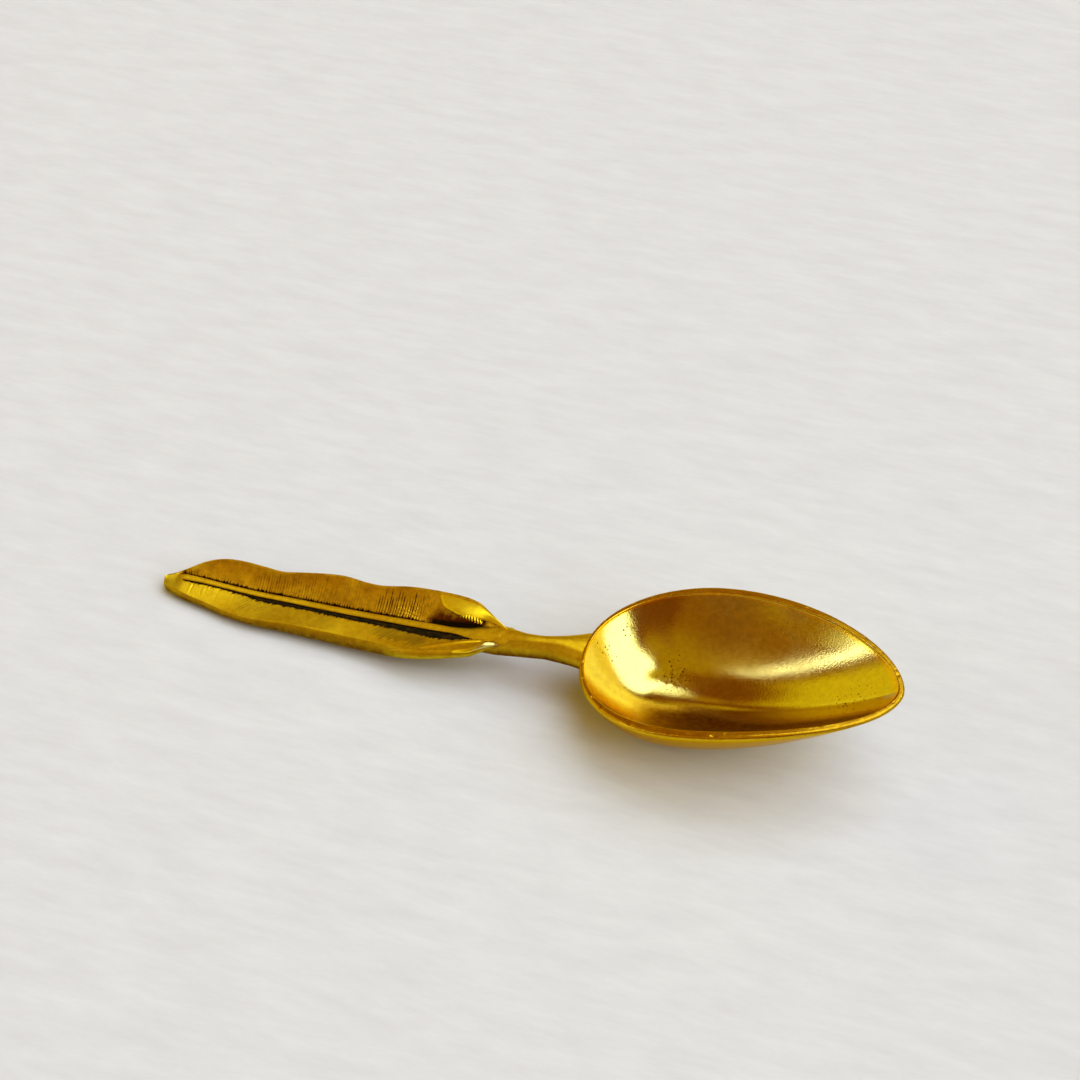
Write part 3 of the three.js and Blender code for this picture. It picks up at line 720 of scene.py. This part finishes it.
def edge_point(side, x, turn):
    """Out, height and painted shade of the rounded edge, with turn 0 at the brow and pi below."""
    _, brow, radius, _, _ = blade_section(side, x)
    egg = 1 if side > 0 else 1 - NEAR_EDGE_EGG * math.cos(turn)
    margin_shade = 0
    if side < 0:
        # Painted shade on the near margin's round
        margin_shade = MARGIN_SHADE * smooth(turn, 0.15, 0.4) + MARGIN_LOW_SHADE * smooth(turn, 0.9, 1.7)
        margin_shade *= lerp(1, BASE_SHADE, smooth(x, -27, -20))
    height = blade_face(side, x, 1) - radius + radius * math.cos(turn)
    return brow + radius * math.sin(turn) * egg, height, margin_shade


def underside_point(side, x, t):
    """Out, height and painted shade of the underside, with t 0 at the edge and 1 at the midrib."""
    inner, brow, radius, low, thin = blade_section(side, x)
    edge = blade_face(side, x, 1) - 2 * radius
    return lerp(brow, inner, t), lerp(edge, low - UNDER_DROP * thin, smooth(t, 0, 1)), BLADE_UNDER_SHADE


print("depth of a full cross line in mm:", LINE_DEPTH)

# %% Blades
BLADE_ROWS, FACE, EDGE, UNDER = 900, 46, 14, 12
NOSE_ROWS, NOSE_CROWDING = 0.03, 0.012  # share of the rows at the nose, and how much closer they stand


def blade_place(side):
    start = FAR_START if side > 0 else NEAR_START

    def place(r, c):
        t = r / (BLADE_ROWS - 1)
        nose = clamp(t / NOSE_ROWS)
        x = lerp(start, LEAF_END, t - NOSE_CROWDING * math.sin(math.pi * nose) * (1 - nose))
        if c < FACE:
            out, height, dark = face_point(side, x, c / (FACE - 1))
        elif c < FACE + EDGE:
            out, height, dark = edge_point(side, x, math.pi * (c - FACE + 1) / (EDGE + 1))
        else:
            out, height, dark = underside_point(side, x, (c - FACE - EDGE) / (UNDER - 1))
        return x, side * out, rib_top(x) + height, dark

    return place


far_blade = rolled_grid("far_blade_skin", BLADE_ROWS, FACE + EDGE + UNDER, blade_place(1))
near_blade = rolled_grid("near_blade_skin", BLADE_ROWS, FACE + EDGE + UNDER, blade_place(-1))

# %% [markdown]
# ## Ear
# At the leaf's base the far margin folds over as a smooth ear above the dark hollow. It is a thin tongue
# between two lines: the outer margin and the free lip. It could be cut from the blade and folded with a
# hook. As its own skin between two paths it keeps a clean edge all round.

# %% Ear
EAR_START, EAR_END = -18.0, -2.0
# x, out, height over the midrib
EAR_OUTER = [(-18.0, 7.4, 2.5), (-15.3, 7.2, 2.55), (-13.2, 7.0, 2.5), (-9.75, 6.2, 2.15),
             (-7.9, 5.35, 1.75), (-5.9, 4.1, 1.2), (-3.8, 2.9, 0.5), (-2.0, 2.0, -0.2)]
EAR_LIP = [(-18.0, 6.6, 2.5), (-16.9, 4.7, 2.5), (-15.9, 3.7, 2.5), (-14.4, 3.0, 2.45),
           (-12.1, 2.3, 2.3), (-10, 2.3, 1.95), (-8.7, 2.4, 1.6), (-7.2, 2.6, 1.1), (-4.9, 2.4, 0.4),
           (-2.0, 1.4, -0.5)]
EAR_ROWS, EAR_ROUND = 220, 56
EAR_INSET, EAR_DROP, EAR_HALF, EAR_ARCH = 0.25, 0.35, 0.4, 0.12


def read_path(path, x):
    """Every further number of a path's points, read at x."""
    return [through([(p[0], p[k]) for p in path], x) for k in range(1, len(path[0]))]


def ear_place(r, c):
    x = lerp(EAR_START, EAR_END, r / (EAR_ROWS - 1))
    outer_y, outer_height = read_path(EAR_OUTER, x)
    lip_y, lip_height = read_path(EAR_LIP, x)
    ends = math.sqrt(clamp((x - EAR_START) / 0.9, 0.1, 1)) * math.sqrt(clamp((EAR_END - x) / 3, 0.05, 1))
    turn = 2 * math.pi * c / EAR_ROUND
    across = (1 - math.cos(turn)) / 2
    thick = EAR_HALF * math.copysign(abs(math.sin(turn)) ** 0.5, math.sin(turn)) * ends
    arch = EAR_ARCH * math.sin(math.pi * across) * ends
    height = lerp(outer_height, lip_height, across) - EAR_DROP + arch + thick
    # Painted shade on the ear's underside, towards the lip
    dark = 0 if math.sin(turn) > 0 else smooth(across, 0.5, 0.8)
    return x, lerp(outer_y - EAR_INSET, lip_y, across), rib_top(x) + height, dark


ear = rolled_grid("far_ear_skin", EAR_ROWS, EAR_ROUND, ear_place)

# %% [markdown]
# ## Curl under the ear
# In the hollow, where the ear ends, lies a small curl with ribs across it, like a coiled shoot. A screw
# modifier could wind it. A bar whose radius swings along its length looks the same at this size and stays
# one closed skin.

# %% Curl
# x, out, height over the midrib, radius
CURL = [(-12.6, 2.75, 1.55, 0.3), (-11.8, 2.7, 1.5, 0.55), (-10, 2.5, 1.25, 0.65),
        (-8.6, 2.35, 0.8, 0.6), (-7.6, 2.2, 0.4, 0.3)]
CURL_ROWS, CURL_ROUND = 140, 32
CURL_PITCH, CURL_SLANT, CURL_RIB = 0.62, 0.25, 0.16


def curl_place(r, c):
    x = lerp(CURL[0][0], CURL[-1][0], r / (CURL_ROWS - 1))
    y, height, radius = read_path(CURL, x)
    turn = 2 * math.pi * c / CURL_ROUND
    rib = math.cos(2 * math.pi * (x + CURL_SLANT * math.cos(turn)) / CURL_PITCH)
    radius *= 1 + CURL_RIB * rib
    z = rib_top(x) + height + radius * math.sin(turn)
    return x, y + radius * math.cos(turn), z, smooth(rib, 0.1, -0.8)


curl = rolled_grid("far_curl_skin", CURL_ROWS, CURL_ROUND, curl_place)

# %% [markdown]
# ## Folds and lip
# On the near side the margin rolls up into a narrow lip that runs onto the stem, with a soft fold beside
# it. Both are slim bars with a changing radius, laid into the blade. The lip's high end is given the
# paler polished colour as a painted highlight, and its last bit is dark where it meets the stem.

# %% Folds
# x, out, height over the midrib, radius
INNER_FOLD = [(-19, 5.9, -0.5, 0.35), (-16, 4.9, -0.25, 0.6), (-13, 3.95, -0.15, 0.7),
              (-10, 2.95, -0.2, 0.65), (-7.5, 2.2, -0.4, 0.5), (-5, 1.7, -0.7, 0.3)]
OUTER_FOLD = [(-12, 5.3, -0.5, 0.2), (-10, 5.25, 0.05, 0.42), (-8, 4.95, 0.3, 0.52),
              (-6.7, 4.15, 0.35, 0.62), (-5.2, 3.25, 0.3, 0.7), (-3.9, 2.5, -0.3, 0.5),
              (-3, 2.1, -0.9, 0.3)]
FOLD_ROWS, FOLD_ROUND, FOLD_FLATNESS = 140, 28, 0.9
LIP_END_DARK = 0.75


def fold_place(path):
    is_lip = path is OUTER_FOLD

    def place(r, c):
        x = lerp(path[0][0], path[-1][0], r / (FOLD_ROWS - 1))
        out, height, radius = read_path(path, x)
        turn = 2 * math.pi * c / FOLD_ROUND
        z = rib_top(x) + height + radius * FOLD_FLATNESS * math.sin(turn)
        dark = LIP_END_DARK * smooth(x, -3.9, -3.4) if is_lip else 0
        # Painted highlight on the lip's high end
        bright = smooth(x, -8, -5.5) if is_lip else 0
        return x, -out + radius * math.cos(turn), z, dark, bright

    return place


inner_fold = rolled_grid("near_inner_fold_skin", FOLD_ROWS, FOLD_ROUND, fold_place(INNER_FOLD))
lip = rolled_grid("near_lip_skin", FOLD_ROWS, FOLD_ROUND, fold_place(OUTER_FOLD))

# %% [markdown]
# ## Braze in the grooves
# Filler metal lies at the bottom of the two grooves, where polish never reaches and the patina stays
# black. On a bench it would be a wire of filler melted into place. Here it is a flat bar that follows the
# groove between midrib and blade.

# %% Groove seams
SEAM_START, SEAM_END, SEAM_RUN_OUT = -70.5, -6.5, 3
SEAM_ROWS, SEAM_ROUND = 160, 16
SEAM_OVERLAP, SEAM_LEAST, SEAM_SINK, SEAM_HALF = 0.3, 0.12, 0.95, 0.6


def seam_place(side):
    def place(r, c):
        x = lerp(SEAM_START, SEAM_END, r / (SEAM_ROWS - 1))
        turn = 2 * math.pi * c / SEAM_ROUND
        far, near = rib_edges(x)
        inside = far if side > 0 else -near
        outside = through(FAR_INNER if side > 0 else NEAR_INNER, x)
        half = max((outside - inside) / 2 + SEAM_OVERLAP, SEAM_LEAST)
        ends = math.sqrt(clamp((x - SEAM_START) / SEAM_RUN_OUT, 0.02, 1)
                         * clamp((SEAM_END - x) / SEAM_RUN_OUT, 0.02, 1))
        y = side * ((inside + outside) / 2 + half * math.cos(turn))
        return x, y, rib_top(x) - SEAM_SINK + SEAM_HALF * ends * math.sin(turn)

    return place


far_seam = rolled_grid("far_seam_skin", SEAM_ROWS, SEAM_ROUND, seam_place(1))
near_seam = rolled_grid("near_seam_skin", SEAM_ROWS, SEAM_ROUND, seam_place(-1))

# %% [markdown]
# ## Braze at the heel
# Where the foot meets the bowl, filler closes the corner as a thin fillet round the sides and the
# underside. A bevel between two separate skins isn't possible, so the fillet is a small bar that follows
# the foot's outline along the wall and fades out at the top.

# %% Heel fillet
FILLET_ROWS, FILLET_ROUND, FILLET_SIZE = 80, 16, 0.5
FILLET_SWEEP, FILLET_FADE = 140, 40  # degrees to each side of the lowest place, and its fading ends
FILLET_WIDE, FILLET_HIGH = 4.3, 2.75  # half width and half height of its path round the foot
FILLET_MIDDLE = 2.7  # from the foot's top down to the path's middle


def fillet_place(r, c):
    around_foot = math.radians(lerp(-FILLET_SWEEP, FILLET_SWEEP, r / (FILLET_ROWS - 1)))
    side, low = math.sin(around_foot), math.cos(around_foot)
    y, z = STEM_BOW + FILLET_WIDE * side, FOOT_TOP - FILLET_MIDDLE - FILLET_HIGH * low
    turn = 2 * math.pi * c / FILLET_ROUND
    fade = clamp((FILLET_SWEEP - abs(math.degrees(around_foot))) / FILLET_FADE, 0.05, 1)
    size = FILLET_SIZE * math.sqrt(fade)
    return (wall_x(y, z) + size * math.cos(turn), y + size * side * math.sin(turn),
            z - size * low * math.sin(turn))


fillet = rolled_grid("heel_fillet_skin", FILLET_ROWS, FILLET_ROUND, fillet_place)

# %% [markdown]
# ## Which skin stands for which solid
# The frame has to know which body a skin rides on, which solid it replaces and which material slot it
# fills. The spoon is one body, so everything rides on the root.

# %% Skins and solids
pieces = [
    (bowl, "bowl", "bowl_gold"),
    (stem, "stem_and_midrib", "stem_gold"),
    (far_blade, "far_leaf_blade", "far_blade_gold"),
    (ear, "far_leaf_blade", "far_blade_gold"),
    (near_blade, "near_leaf_blade", "near_blade_gold"),
    (lip, "near_leaf_blade", "near_blade_gold"),
    (inner_fold, "near_leaf_blade", "near_blade_gold"),
    (curl, "far_leaf_blade", "far_blade_gold"),
    (far_seam, "far_groove_braze", "groove_patina"),
    (near_seam, "near_groove_braze", "groove_patina"),
    (fillet, "heel_braze", "braze_gold"),
]
for piece, node, slot in pieces:
    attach(piece, "root")
    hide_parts(node)
print("skins:", len(pieces), "solids replaced:", len({node for _, node, _ in pieces}))

# %% [markdown]
# ## Node helpers
# A material is a small net of nodes. At a screen one drags wires between them. In code the same few moves
# come again and again: add a node, set its sockets or wire them up, mix two colours, read a colour off a
# ramp. Each move is a helper, so that the recipes below stay short enough to read.

# %% Helpers for nodes
def new_material(name):
    material = bpy.data.materials.new(name)
    material.use_nodes = True
    return material, material.node_tree, material.node_tree.nodes["Principled BSDF"]


def feed(tree, socket, value):
    """Wires another node's output into a socket, or sets the socket to a number or a colour."""
    if isinstance(value, bpy.types.NodeSocket):
        tree.links.new(value, socket)
    else:
        socket.default_value = value


def add_node(tree, kind, settings=None, **sockets):
    """Adds a node with its settings, and feeds its sockets. A socket's name has _ for a blank."""
    node = tree.nodes.new(kind)
    for setting, value in (settings or {}).items():
        setattr(node, setting, value)
    for name, value in sockets.items():
        feed(tree, node.inputs[name.replace("_", " ")], value)
    return node


def math_node(tree, operation, *values, **settings):
    node = add_node(tree, "ShaderNodeMath", {"operation": operation, **settings})
    for socket, value in zip(node.inputs, values):
        feed(tree, socket, value)
    return node.outputs[0]


def object_place(tree):
    return add_node(tree, "ShaderNodeTexCoord").outputs["Object"]


def noise_node(tree, place, scale, detail, roughness=0.5):
    node = add_node(tree, "ShaderNodeTexNoise", Vector=place, Scale=scale, Detail=detail,
                    Roughness=roughness)
    return node.outputs["Fac"]


def map_node(tree, value, from_min, from_max, to_min, to_max):
    return add_node(tree, "ShaderNodeMapRange", Value=value, From_Min=from_min, From_Max=from_max,
                    To_Min=to_min, To_Max=to_max).outputs[0]


def mix_colours(tree, share, first, second):
    node = add_node(tree, "ShaderNodeMix", {"data_type": "RGBA"}, Factor=share, A=first, B=second)
    return node.outputs["Result"]


def ramp_node(tree, value, *stops):
    """A colour read off a ramp. Each stop is a position and a colour."""
    node = add_node(tree, "ShaderNodeValToRGB", Fac=value)
    elements = node.color_ramp.elements
    for element, (position, colour) in zip(elements, (stops[0], stops[-1])):
        element.position = position
        element.color = (*colour, 1)
    for position, colour in stops[1:-1]:
        elements.new(position).color = (*colour, 1)
    return node.outputs["Color"]


helpers = (feed, add_node, math_node, object_place, noise_node, map_node, mix_colours, ramp_node)
print("node helpers:", [helper.__name__ for helper in helpers])

# %% [markdown]
# ## Gold plate: pits
# Small dark pits are left where the casting had bubbles. Voronoi cells give one possible pit each. Its
# size comes from the cell's own random value, the pitting layer of the mesh and a loose noise, so that
# pits come in groups and in all sizes.

# %% Pits
PIT_CELLS, PIT_REACH = 1500.0, 0.42
PIT_GROUPS, GROUP_FROM, GROUP_TO = 70.0, 0.5, 0.72


def casting_pits(tree, place, pitting, pits):
    """1 inside a pit and 0 elsewhere."""
    cells = add_node(tree, "ShaderNodeTexVoronoi", Vector=place, Scale=PIT_CELLS)
    groups = map_node(tree, noise_node(tree, place, PIT_GROUPS, 1.0), GROUP_FROM, GROUP_TO, 0.0, pits)
    reach = math_node(tree, "MULTIPLY_ADD", pitting, PIT_REACH, groups)
    size = math_node(tree, "MULTIPLY", cells.outputs["Color"], reach)
    return math_node(tree, "LESS_THAN", cells.outputs["Distance"], size)


print("pit cells per metre:", PIT_CELLS)

# %% [markdown]
# ## Gold plate: colour
# The plate is a deep yellow that varies softly between two tones. Where it is polished it turns paler,
# partly as painted highlight, so that bright reflections come out nearly white; on the rim's inner corner
# and the lip's high end it is only painted highlight. Patina and painted shade lie over it first as a
# brown film and then as a black crust. One could paint each layer. Here the layers of the mesh say how
# much of each there is, and a fine stain breaks up their edges.

# %% Colour of the plate
# Paler tone of polished places and of the painted highlights
PALE = (0.64, 0.57, 0.17, 1)
# Brown of patina and of painted shade
BROWN_PATINA_AND_SHADE, BROWN_UP_TO = (0.115, 0.028, 0.003), 0.88
BLACK, BLACK_FROM = (0.012, 0.008, 0.002), 0.98
STAIN_SCALE, STAIN_FROM, STAIN_TO = 900.0, 0.3, 0.62


def plate_colour(tree, place, cloud, wear_and_painted_light, pit, light, deep, stains):
    tone = mix_colours(tree, cloud, (*deep, 1), (*light, 1))
    bright = mix_colours(tree, wear_and_painted_light["polish_and_sheen"], tone, PALE)
    spots = noise_node(tree, place, STAIN_SCALE, 5.0, 0.7)
    stain = map_node(tree, spots, STAIN_FROM, STAIN_TO, stains, 0.0)
    stained = math_node(tree, "ADD", wear_and_painted_light["patina"], stain, use_clamp=True)
    dark = math_node(tree, "MAXIMUM", stained, pit)
    crust = ramp_node(tree, wear_and_painted_light["patina"], (BROWN_UP_TO, BROWN_PATINA_AND_SHADE), (BLACK_FROM, BLACK))
    return mix_colours(tree, dark, bright, crust)


print("pale tone of rubbed plate:", PALE[:3])

# %% [markdown]
# ## Gold plate: polish
# How sharp the reflections are differs from piece to piece: the bowl is polished, the stem is satin.
# Within a piece it wanders a little, and patina dulls it. A fine grain and the pits come as bump, because
# they are smaller than the mesh. All golds share this recipe and differ only in their tones and amounts.

# %% Gold
CLOUD_SCALE, GRAIN_SCALE = 160.0, 2600.0
POLISH_FROM, POLISH_TO, SHARPER, SOFTER = 0.3, 0.7, 0.04, 0.05
PATINA_ROUGHNESS = 0.5
GRAIN_DEPTH, PIT_DEPTH, PIT_STRENGTH = 0.00005, 0.0001, 0.6
EDGE_TINT = (1, 0.78, 0.3, 1)  # the metal's colour at a grazing angle


def gold(name, light, deep, rough, pits, stains, satin):
    """Plated metal. rough is its roughness, the last three are amounts of pits, stains and grain."""
    material, tree, shader = new_material(name)
    place = object_place(tree)
    wear_and_painted_light = {layer: add_node(tree, "ShaderNodeAttribute", {"attribute_name": layer}).outputs["Fac"]
            for layer in WEAR_AND_PAINTED_LIGHT_LAYERS}
    cloud = noise_node(tree, place, CLOUD_SCALE, 4.0, 0.6)
    pit = casting_pits(tree, place, wear_and_painted_light["pitting"], pits)
    colour = plate_colour(tree, place, cloud, wear_and_painted_light, pit, light, deep, stains)
    tree.links.new(colour, shader.inputs["Base Color"])
    polish_and_sheen = map_node(tree, cloud, POLISH_FROM, POLISH_TO, rough - SHARPER, rough + SOFTER)
    dull = add_node(tree, "ShaderNodeMix", Factor=wear_and_painted_light["patina"], A=polish_and_sheen, B=PATINA_ROUGHNESS)
    tree.links.new(dull.outputs["Result"], shader.inputs["Roughness"])
    grain = add_node(tree, "ShaderNodeBump", Strength=satin, Distance=GRAIN_DEPTH,
                     Height=noise_node(tree, place, GRAIN_SCALE, 3.0, 0.6))
    holes = add_node(tree, "ShaderNodeBump", {"invert": True}, Strength=PIT_STRENGTH, Distance=PIT_DEPTH,
                     Height=pit, Normal=grain.outputs["Normal"])
    tree.links.new(holes.outputs["Normal"], shader.inputs["Normal"])
    shader.inputs["Metallic"].default_value = 1
    shader.inputs["Specular Tint"].default_value = EDGE_TINT
    return material


# The tones were set piece by piece: the near blade and the ear are brighter than the rest, painted light
# that makes them show as bright as they should under this dome.
GOLDS = [  # name, light tone, deep tone, roughness, pits, stains, grain
    ("bowl_gold", (0.9, 0.62, 0.02), (0.8, 0.5, 0.014), 0.13, 0.1, 0.18, 0.4),
    ("stem_gold", (0.76, 0.56, 0.012), (0.64, 0.43, 0.008), 0.46, 0.08, 0.3, 0.4),
    ("far_blade_gold", (0.94, 0.68, 0.02), (0.56, 0.34, 0.01), 0.36, 0.12, 0.45, 0.7),
    ("near_blade_gold", (1.0, 0.82, 0.02), (0.88, 0.68, 0.015), 0.3, 0.1, 0.22, 0.4),
    ("ear_gold", (0.94, 0.78, 0.02), (0.84, 0.66, 0.015), 0.4, 0.1, 0.2, 0.3),
]
bowl_gold, stem_gold, far_gold, near_gold, ear_gold = [gold(*values) for values in GOLDS]
print("golds:", [values[0] for values in GOLDS])

# %% [markdown]
# ## Groove patina
# The seams at the bottom of the grooves are a matt, crumbly black. It isn't metal to the eye, so it gets
# almost no shine, and its crust is noise that sets both the colour and the lumps.

# %% Groove patina
CRUST_SCALE, LUMP_STRENGTH, LUMP_HEIGHT = 1400, 0.8, 0.0002
SOOT, BROWN = (0.006, 0.005, 0.001), (0.04, 0.02, 0.002)
MATT, FAINT_SHINE = 0.6, 0.05
groove_patina, tree, shader = new_material("groove_patina")
crust = noise_node(tree, object_place(tree), CRUST_SCALE, 5)
soot = ramp_node(tree, crust, (0.45, SOOT), (0.75, BROWN))
lumps = add_node(tree, "ShaderNodeBump", Strength=LUMP_STRENGTH, Distance=LUMP_HEIGHT, Height=crust)
tree.links.new(soot, shader.inputs["Base Color"])
tree.links.new(lumps.outputs["Normal"], shader.inputs["Normal"])
shader.inputs["Roughness"].default_value = MATT
shader.inputs["Specular IOR Level"].default_value = FAINT_SHINE
print("matt black:", groove_patina.name)

# %% [markdown]
# ## Finishes on the skins
# Small pieces borrow the gold of a larger one, so that no further recipe is needed: the fold, the lip and
# the curl take the near blade's, and the fillet takes the stem's.

# %% Finishes
finishes = [
    (bowl, bowl_gold), (stem, stem_gold), (fillet, stem_gold), (far_blade, far_gold), (ear, ear_gold),
    (near_blade, near_gold), (curl, near_gold), (lip, near_gold), (inner_fold, near_gold),
    (far_seam, groove_patina), (near_seam, groove_patina),
]
for piece, finish in finishes:
    piece.data.materials.append(finish)
print("skins with a finish:", len(finishes))

# %% [markdown]
# ## Floor
# The spoon lies on a pale painted floor with faint brush strokes. A plane with a stretched noise is
# enough for it. It is large, so that its edge is far away in every view.

# %% Floor
FLOOR_SIZE, FLOOR_ROUGHNESS = 20, 0.8
FLOOR_DARK, FLOOR_LIGHT = (0.55, 0.61, 0.67), (0.635, 0.705, 0.77)
STROKE_ANGLE, STROKE_STRETCH, STROKE_SCALE = math.radians(-12), (0.25, 1, 1), 260
NAP_STRENGTH, NAP_HEIGHT = 0.25, 0.0003
bpy.ops.object.select_all(action="DESELECT")
bpy.ops.mesh.primitive_plane_add(size=FLOOR_SIZE, location=(0, 0, 0))
floor = bpy.context.object
floor.name = "floor"
floor_paint, tree, shader = new_material("floor_paint")
brush = add_node(tree, "ShaderNodeMapping", Vector=object_place(tree), Rotation=(0, 0, STROKE_ANGLE),
                 Scale=STROKE_STRETCH)
strokes = noise_node(tree, brush.outputs["Vector"], STROKE_SCALE, 6, 0.7)
paint = ramp_node(tree, strokes, (0.25, FLOOR_DARK), (0.75, FLOOR_LIGHT))
nap = add_node(tree, "ShaderNodeBump", Strength=NAP_STRENGTH, Distance=NAP_HEIGHT, Height=strokes)
tree.links.new(paint, shader.inputs["Base Color"])
tree.links.new(nap.outputs["Normal"], shader.inputs["Normal"])
shader.inputs["Roughness"].default_value = FLOOR_ROUGHNESS
floor.data.materials.append(floor_paint)
print("floor in m:", FLOOR_SIZE)

# %% [markdown]
# ## Light: directions
# Polished metal shows its surroundings, so the light is painted all round, as a studio dome in the world.
# Each spot of the dome is found by its azimuth, where 0 is the far side and 90 the side of the bowl's
# tip, and by its height over the horizon. Area lamps would do too, but the dome shows just as softly in
# the reflections as it lights.

# %% Directions
world = bpy.data.worlds.new("studio")
bpy.context.scene.world = world
world.use_nodes = True
tree = world.node_tree
around = add_node(tree, "ShaderNodeTexCoord").outputs["Generated"]
axes = add_node(tree, "ShaderNodeSeparateXYZ", Vector=around).outputs
azimuth = math_node(tree, "DEGREES", math_node(tree, "ARCTAN2", axes["X"], axes["Y"]))
elevation = math_node(tree, "DEGREES", math_node(tree, "ARCSINE", axes["Z"]))


def times(a, b):
    return math_node(tree, "MULTIPLY", a, b)


def plus(a, b):
    return math_node(tree, "ADD", a, b)


def minus(a, b):
    return math_node(tree, "SUBTRACT", a, b)


def soft_step(value, zero, one):
    return add_node(tree, "ShaderNodeMapRange", {"interpolation_type": "SMOOTHSTEP"}, Value=value,
                    From_Min=zero, From_Max=one).outputs[0]


def band(value, low, high, soft):
    """1 between low and high, falling softly to 0 outside."""
    return times(soft_step(value, low - soft, low + soft), soft_step(value, high + soft, high - soft))


print("dome nodes so far:", len(tree.nodes))

# %% [markdown]
# ## Light: window
# The main light is one large soft window at the right and on the far side. Its sill slants down towards
# the tip of the bowl, and its jamb leans. Polished metal shows both edges, so each has its own numbers.

# %% Window
SILL_FAR, SILL_SLANT, SILL_LEAST = 48.0, 0.42, 13.0
JAMB, JAMB_LEAN, JAMB_LEANS_FROM, WINDOW_WIDTH = 127.0, 1.2, 45.0, 205
WINDOW_TOP, TOP_SOFT, ABOVE_TOP, WINDOW_SOFT, WINDOW_LEVEL = 80, 5, 0.25, 4, 2.6
FULL_HEIGHT = 200  # above every elevation
sill = math_node(tree, "MAXIMUM", minus(SILL_FAR, times(azimuth, SILL_SLANT)), SILL_LEAST)
lean = math_node(tree, "MAXIMUM", minus(elevation, JAMB_LEANS_FROM), 0.0)
jamb = plus(times(lean, JAMB_LEAN), JAMB)
window = times(band(minus(elevation, sill), 0, FULL_HEIGHT, WINDOW_SOFT),
               band(minus(azimuth, jamb), -WINDOW_WIDTH, 0, WINDOW_SOFT))
below_top = band(elevation, -90, WINDOW_TOP, TOP_SOFT)
window = times(window, plus(times(below_top, 1 - ABOVE_TOP), ABOVE_TOP))
print("window level:", WINDOW_LEVEL)

# %% [markdown]
# ## Light: strip, fills and horizon
# A narrow bright strip stands at the left, and broad dim fills light the rest of the room. The dim parts
# of the room are warm and the bright ones white, as in a room with wooden walls. A low strip of pale haze
# stands on the horizon, so that a view from low down has no brown sky above the floor.

# %% Fills
ROOM_LEVEL = 0.25
FILLS = [  # azimuth, elevation, softness in degrees, level
    ((-122.5, -118.5), (13, 48), 1.2, 3.6),  # narrow strip at the left
    ((-122, -117), (14, 29), 1.5, 1.2),  # its brighter lower part
    ((-108, -52), (5, 44), 8, 0.7),  # broad glow on the leaf's side
    ((-178, -128), (4, 30), 7, 0.14),  # dim fill, low on the camera's side
    ((-36, -16), (24, 40), 5, 0.4),  # two patches at the far left
    ((-54, -33), (49, 60), 4, 0.25),
    ((-200, -40), (72, 100), 8, 0.35),  # overhead
    ((-185, -120), (34, 72), 10, 0.3),  # two fills, high on the camera's side
    ((140, 185), (38, 72), 8, 0.3),
    ((-56, -42), (8, 28), 4, 0.5),  # closes a gap that showed as a dark crease on the bowl's near wall
    ((-130, -122), (12, 19), 2, 1.6),  # low spot beside the strip
    ((-148, -142), (12, 17), 2, 0.45),  # two small spots in the dim fill
    ((-136, -131), (12, 18), 2, 0.2),
]
light = plus(times(window, WINDOW_LEVEL), ROOM_LEVEL)
for across, upwards, soft, level in FILLS:
    spot = times(band(azimuth, *across, soft), band(elevation, *upwards, soft))
    light = plus(times(spot, level), light)
print("fills:", len(FILLS))

# %% Dome
BRIGHTEST = 3.0  # the level that the ramp calls 1
ROOM_TINT = [(0.05, (1, 0.19, 0.01)), (0.12, (1, 0.38, 0.01)), (0.2, (1, 0.6, 0.01)),
             (0.36, (1, 0.78, 0.02)), (0.58, (1, 1, 0.6)), (1.0, (1, 1, 1.12))]
HAZE_TOP, HAZE_SOFT, HAZE_LEVEL, HAZE_COLOUR = 5, 1, 0.75, (1, 0.985, 0.96, 1)
share = math_node(tree, "DIVIDE", light, BRIGHTEST)
tint = ramp_node(tree, share, *ROOM_TINT)
haze = band(elevation, -90, HAZE_TOP, HAZE_SOFT)
background = tree.nodes["Background"]
strength = plus(times(light, minus(1.0, haze)), times(haze, HAZE_LEVEL))
tree.links.new(strength, background.inputs["Strength"])
tree.links.new(mix_colours(tree, haze, tint, HAZE_COLOUR), background.inputs["Color"])
print("dome nodes:", len(tree.nodes))

# %% [markdown]
# ## Camera
# The camera looks down at the spoon from the near side, a little from the right, through a long lens that
# keeps the shape calm. The view transform is Standard, so that a colour shows as it is written.

# %% Camera
CAMERA_PLACE = (0.0892, -0.2632, 0.3465)
CAMERA_TILT, CAMERA_TURN = math.radians(42), math.radians(17.76)
LENS, SENSOR, NEAREST = 75, 36, 0.01
bpy.ops.object.camera_add(location=CAMERA_PLACE, rotation=(CAMERA_TILT, 0, CAMERA_TURN))
camera = bpy.context.object
camera.data.lens = LENS
camera.data.sensor_width = SENSOR
camera.data.clip_start = NEAREST
bpy.context.scene.camera = camera
bpy.context.scene.view_settings.view_transform = "Standard"
print("lens in mm:", camera.data.lens)
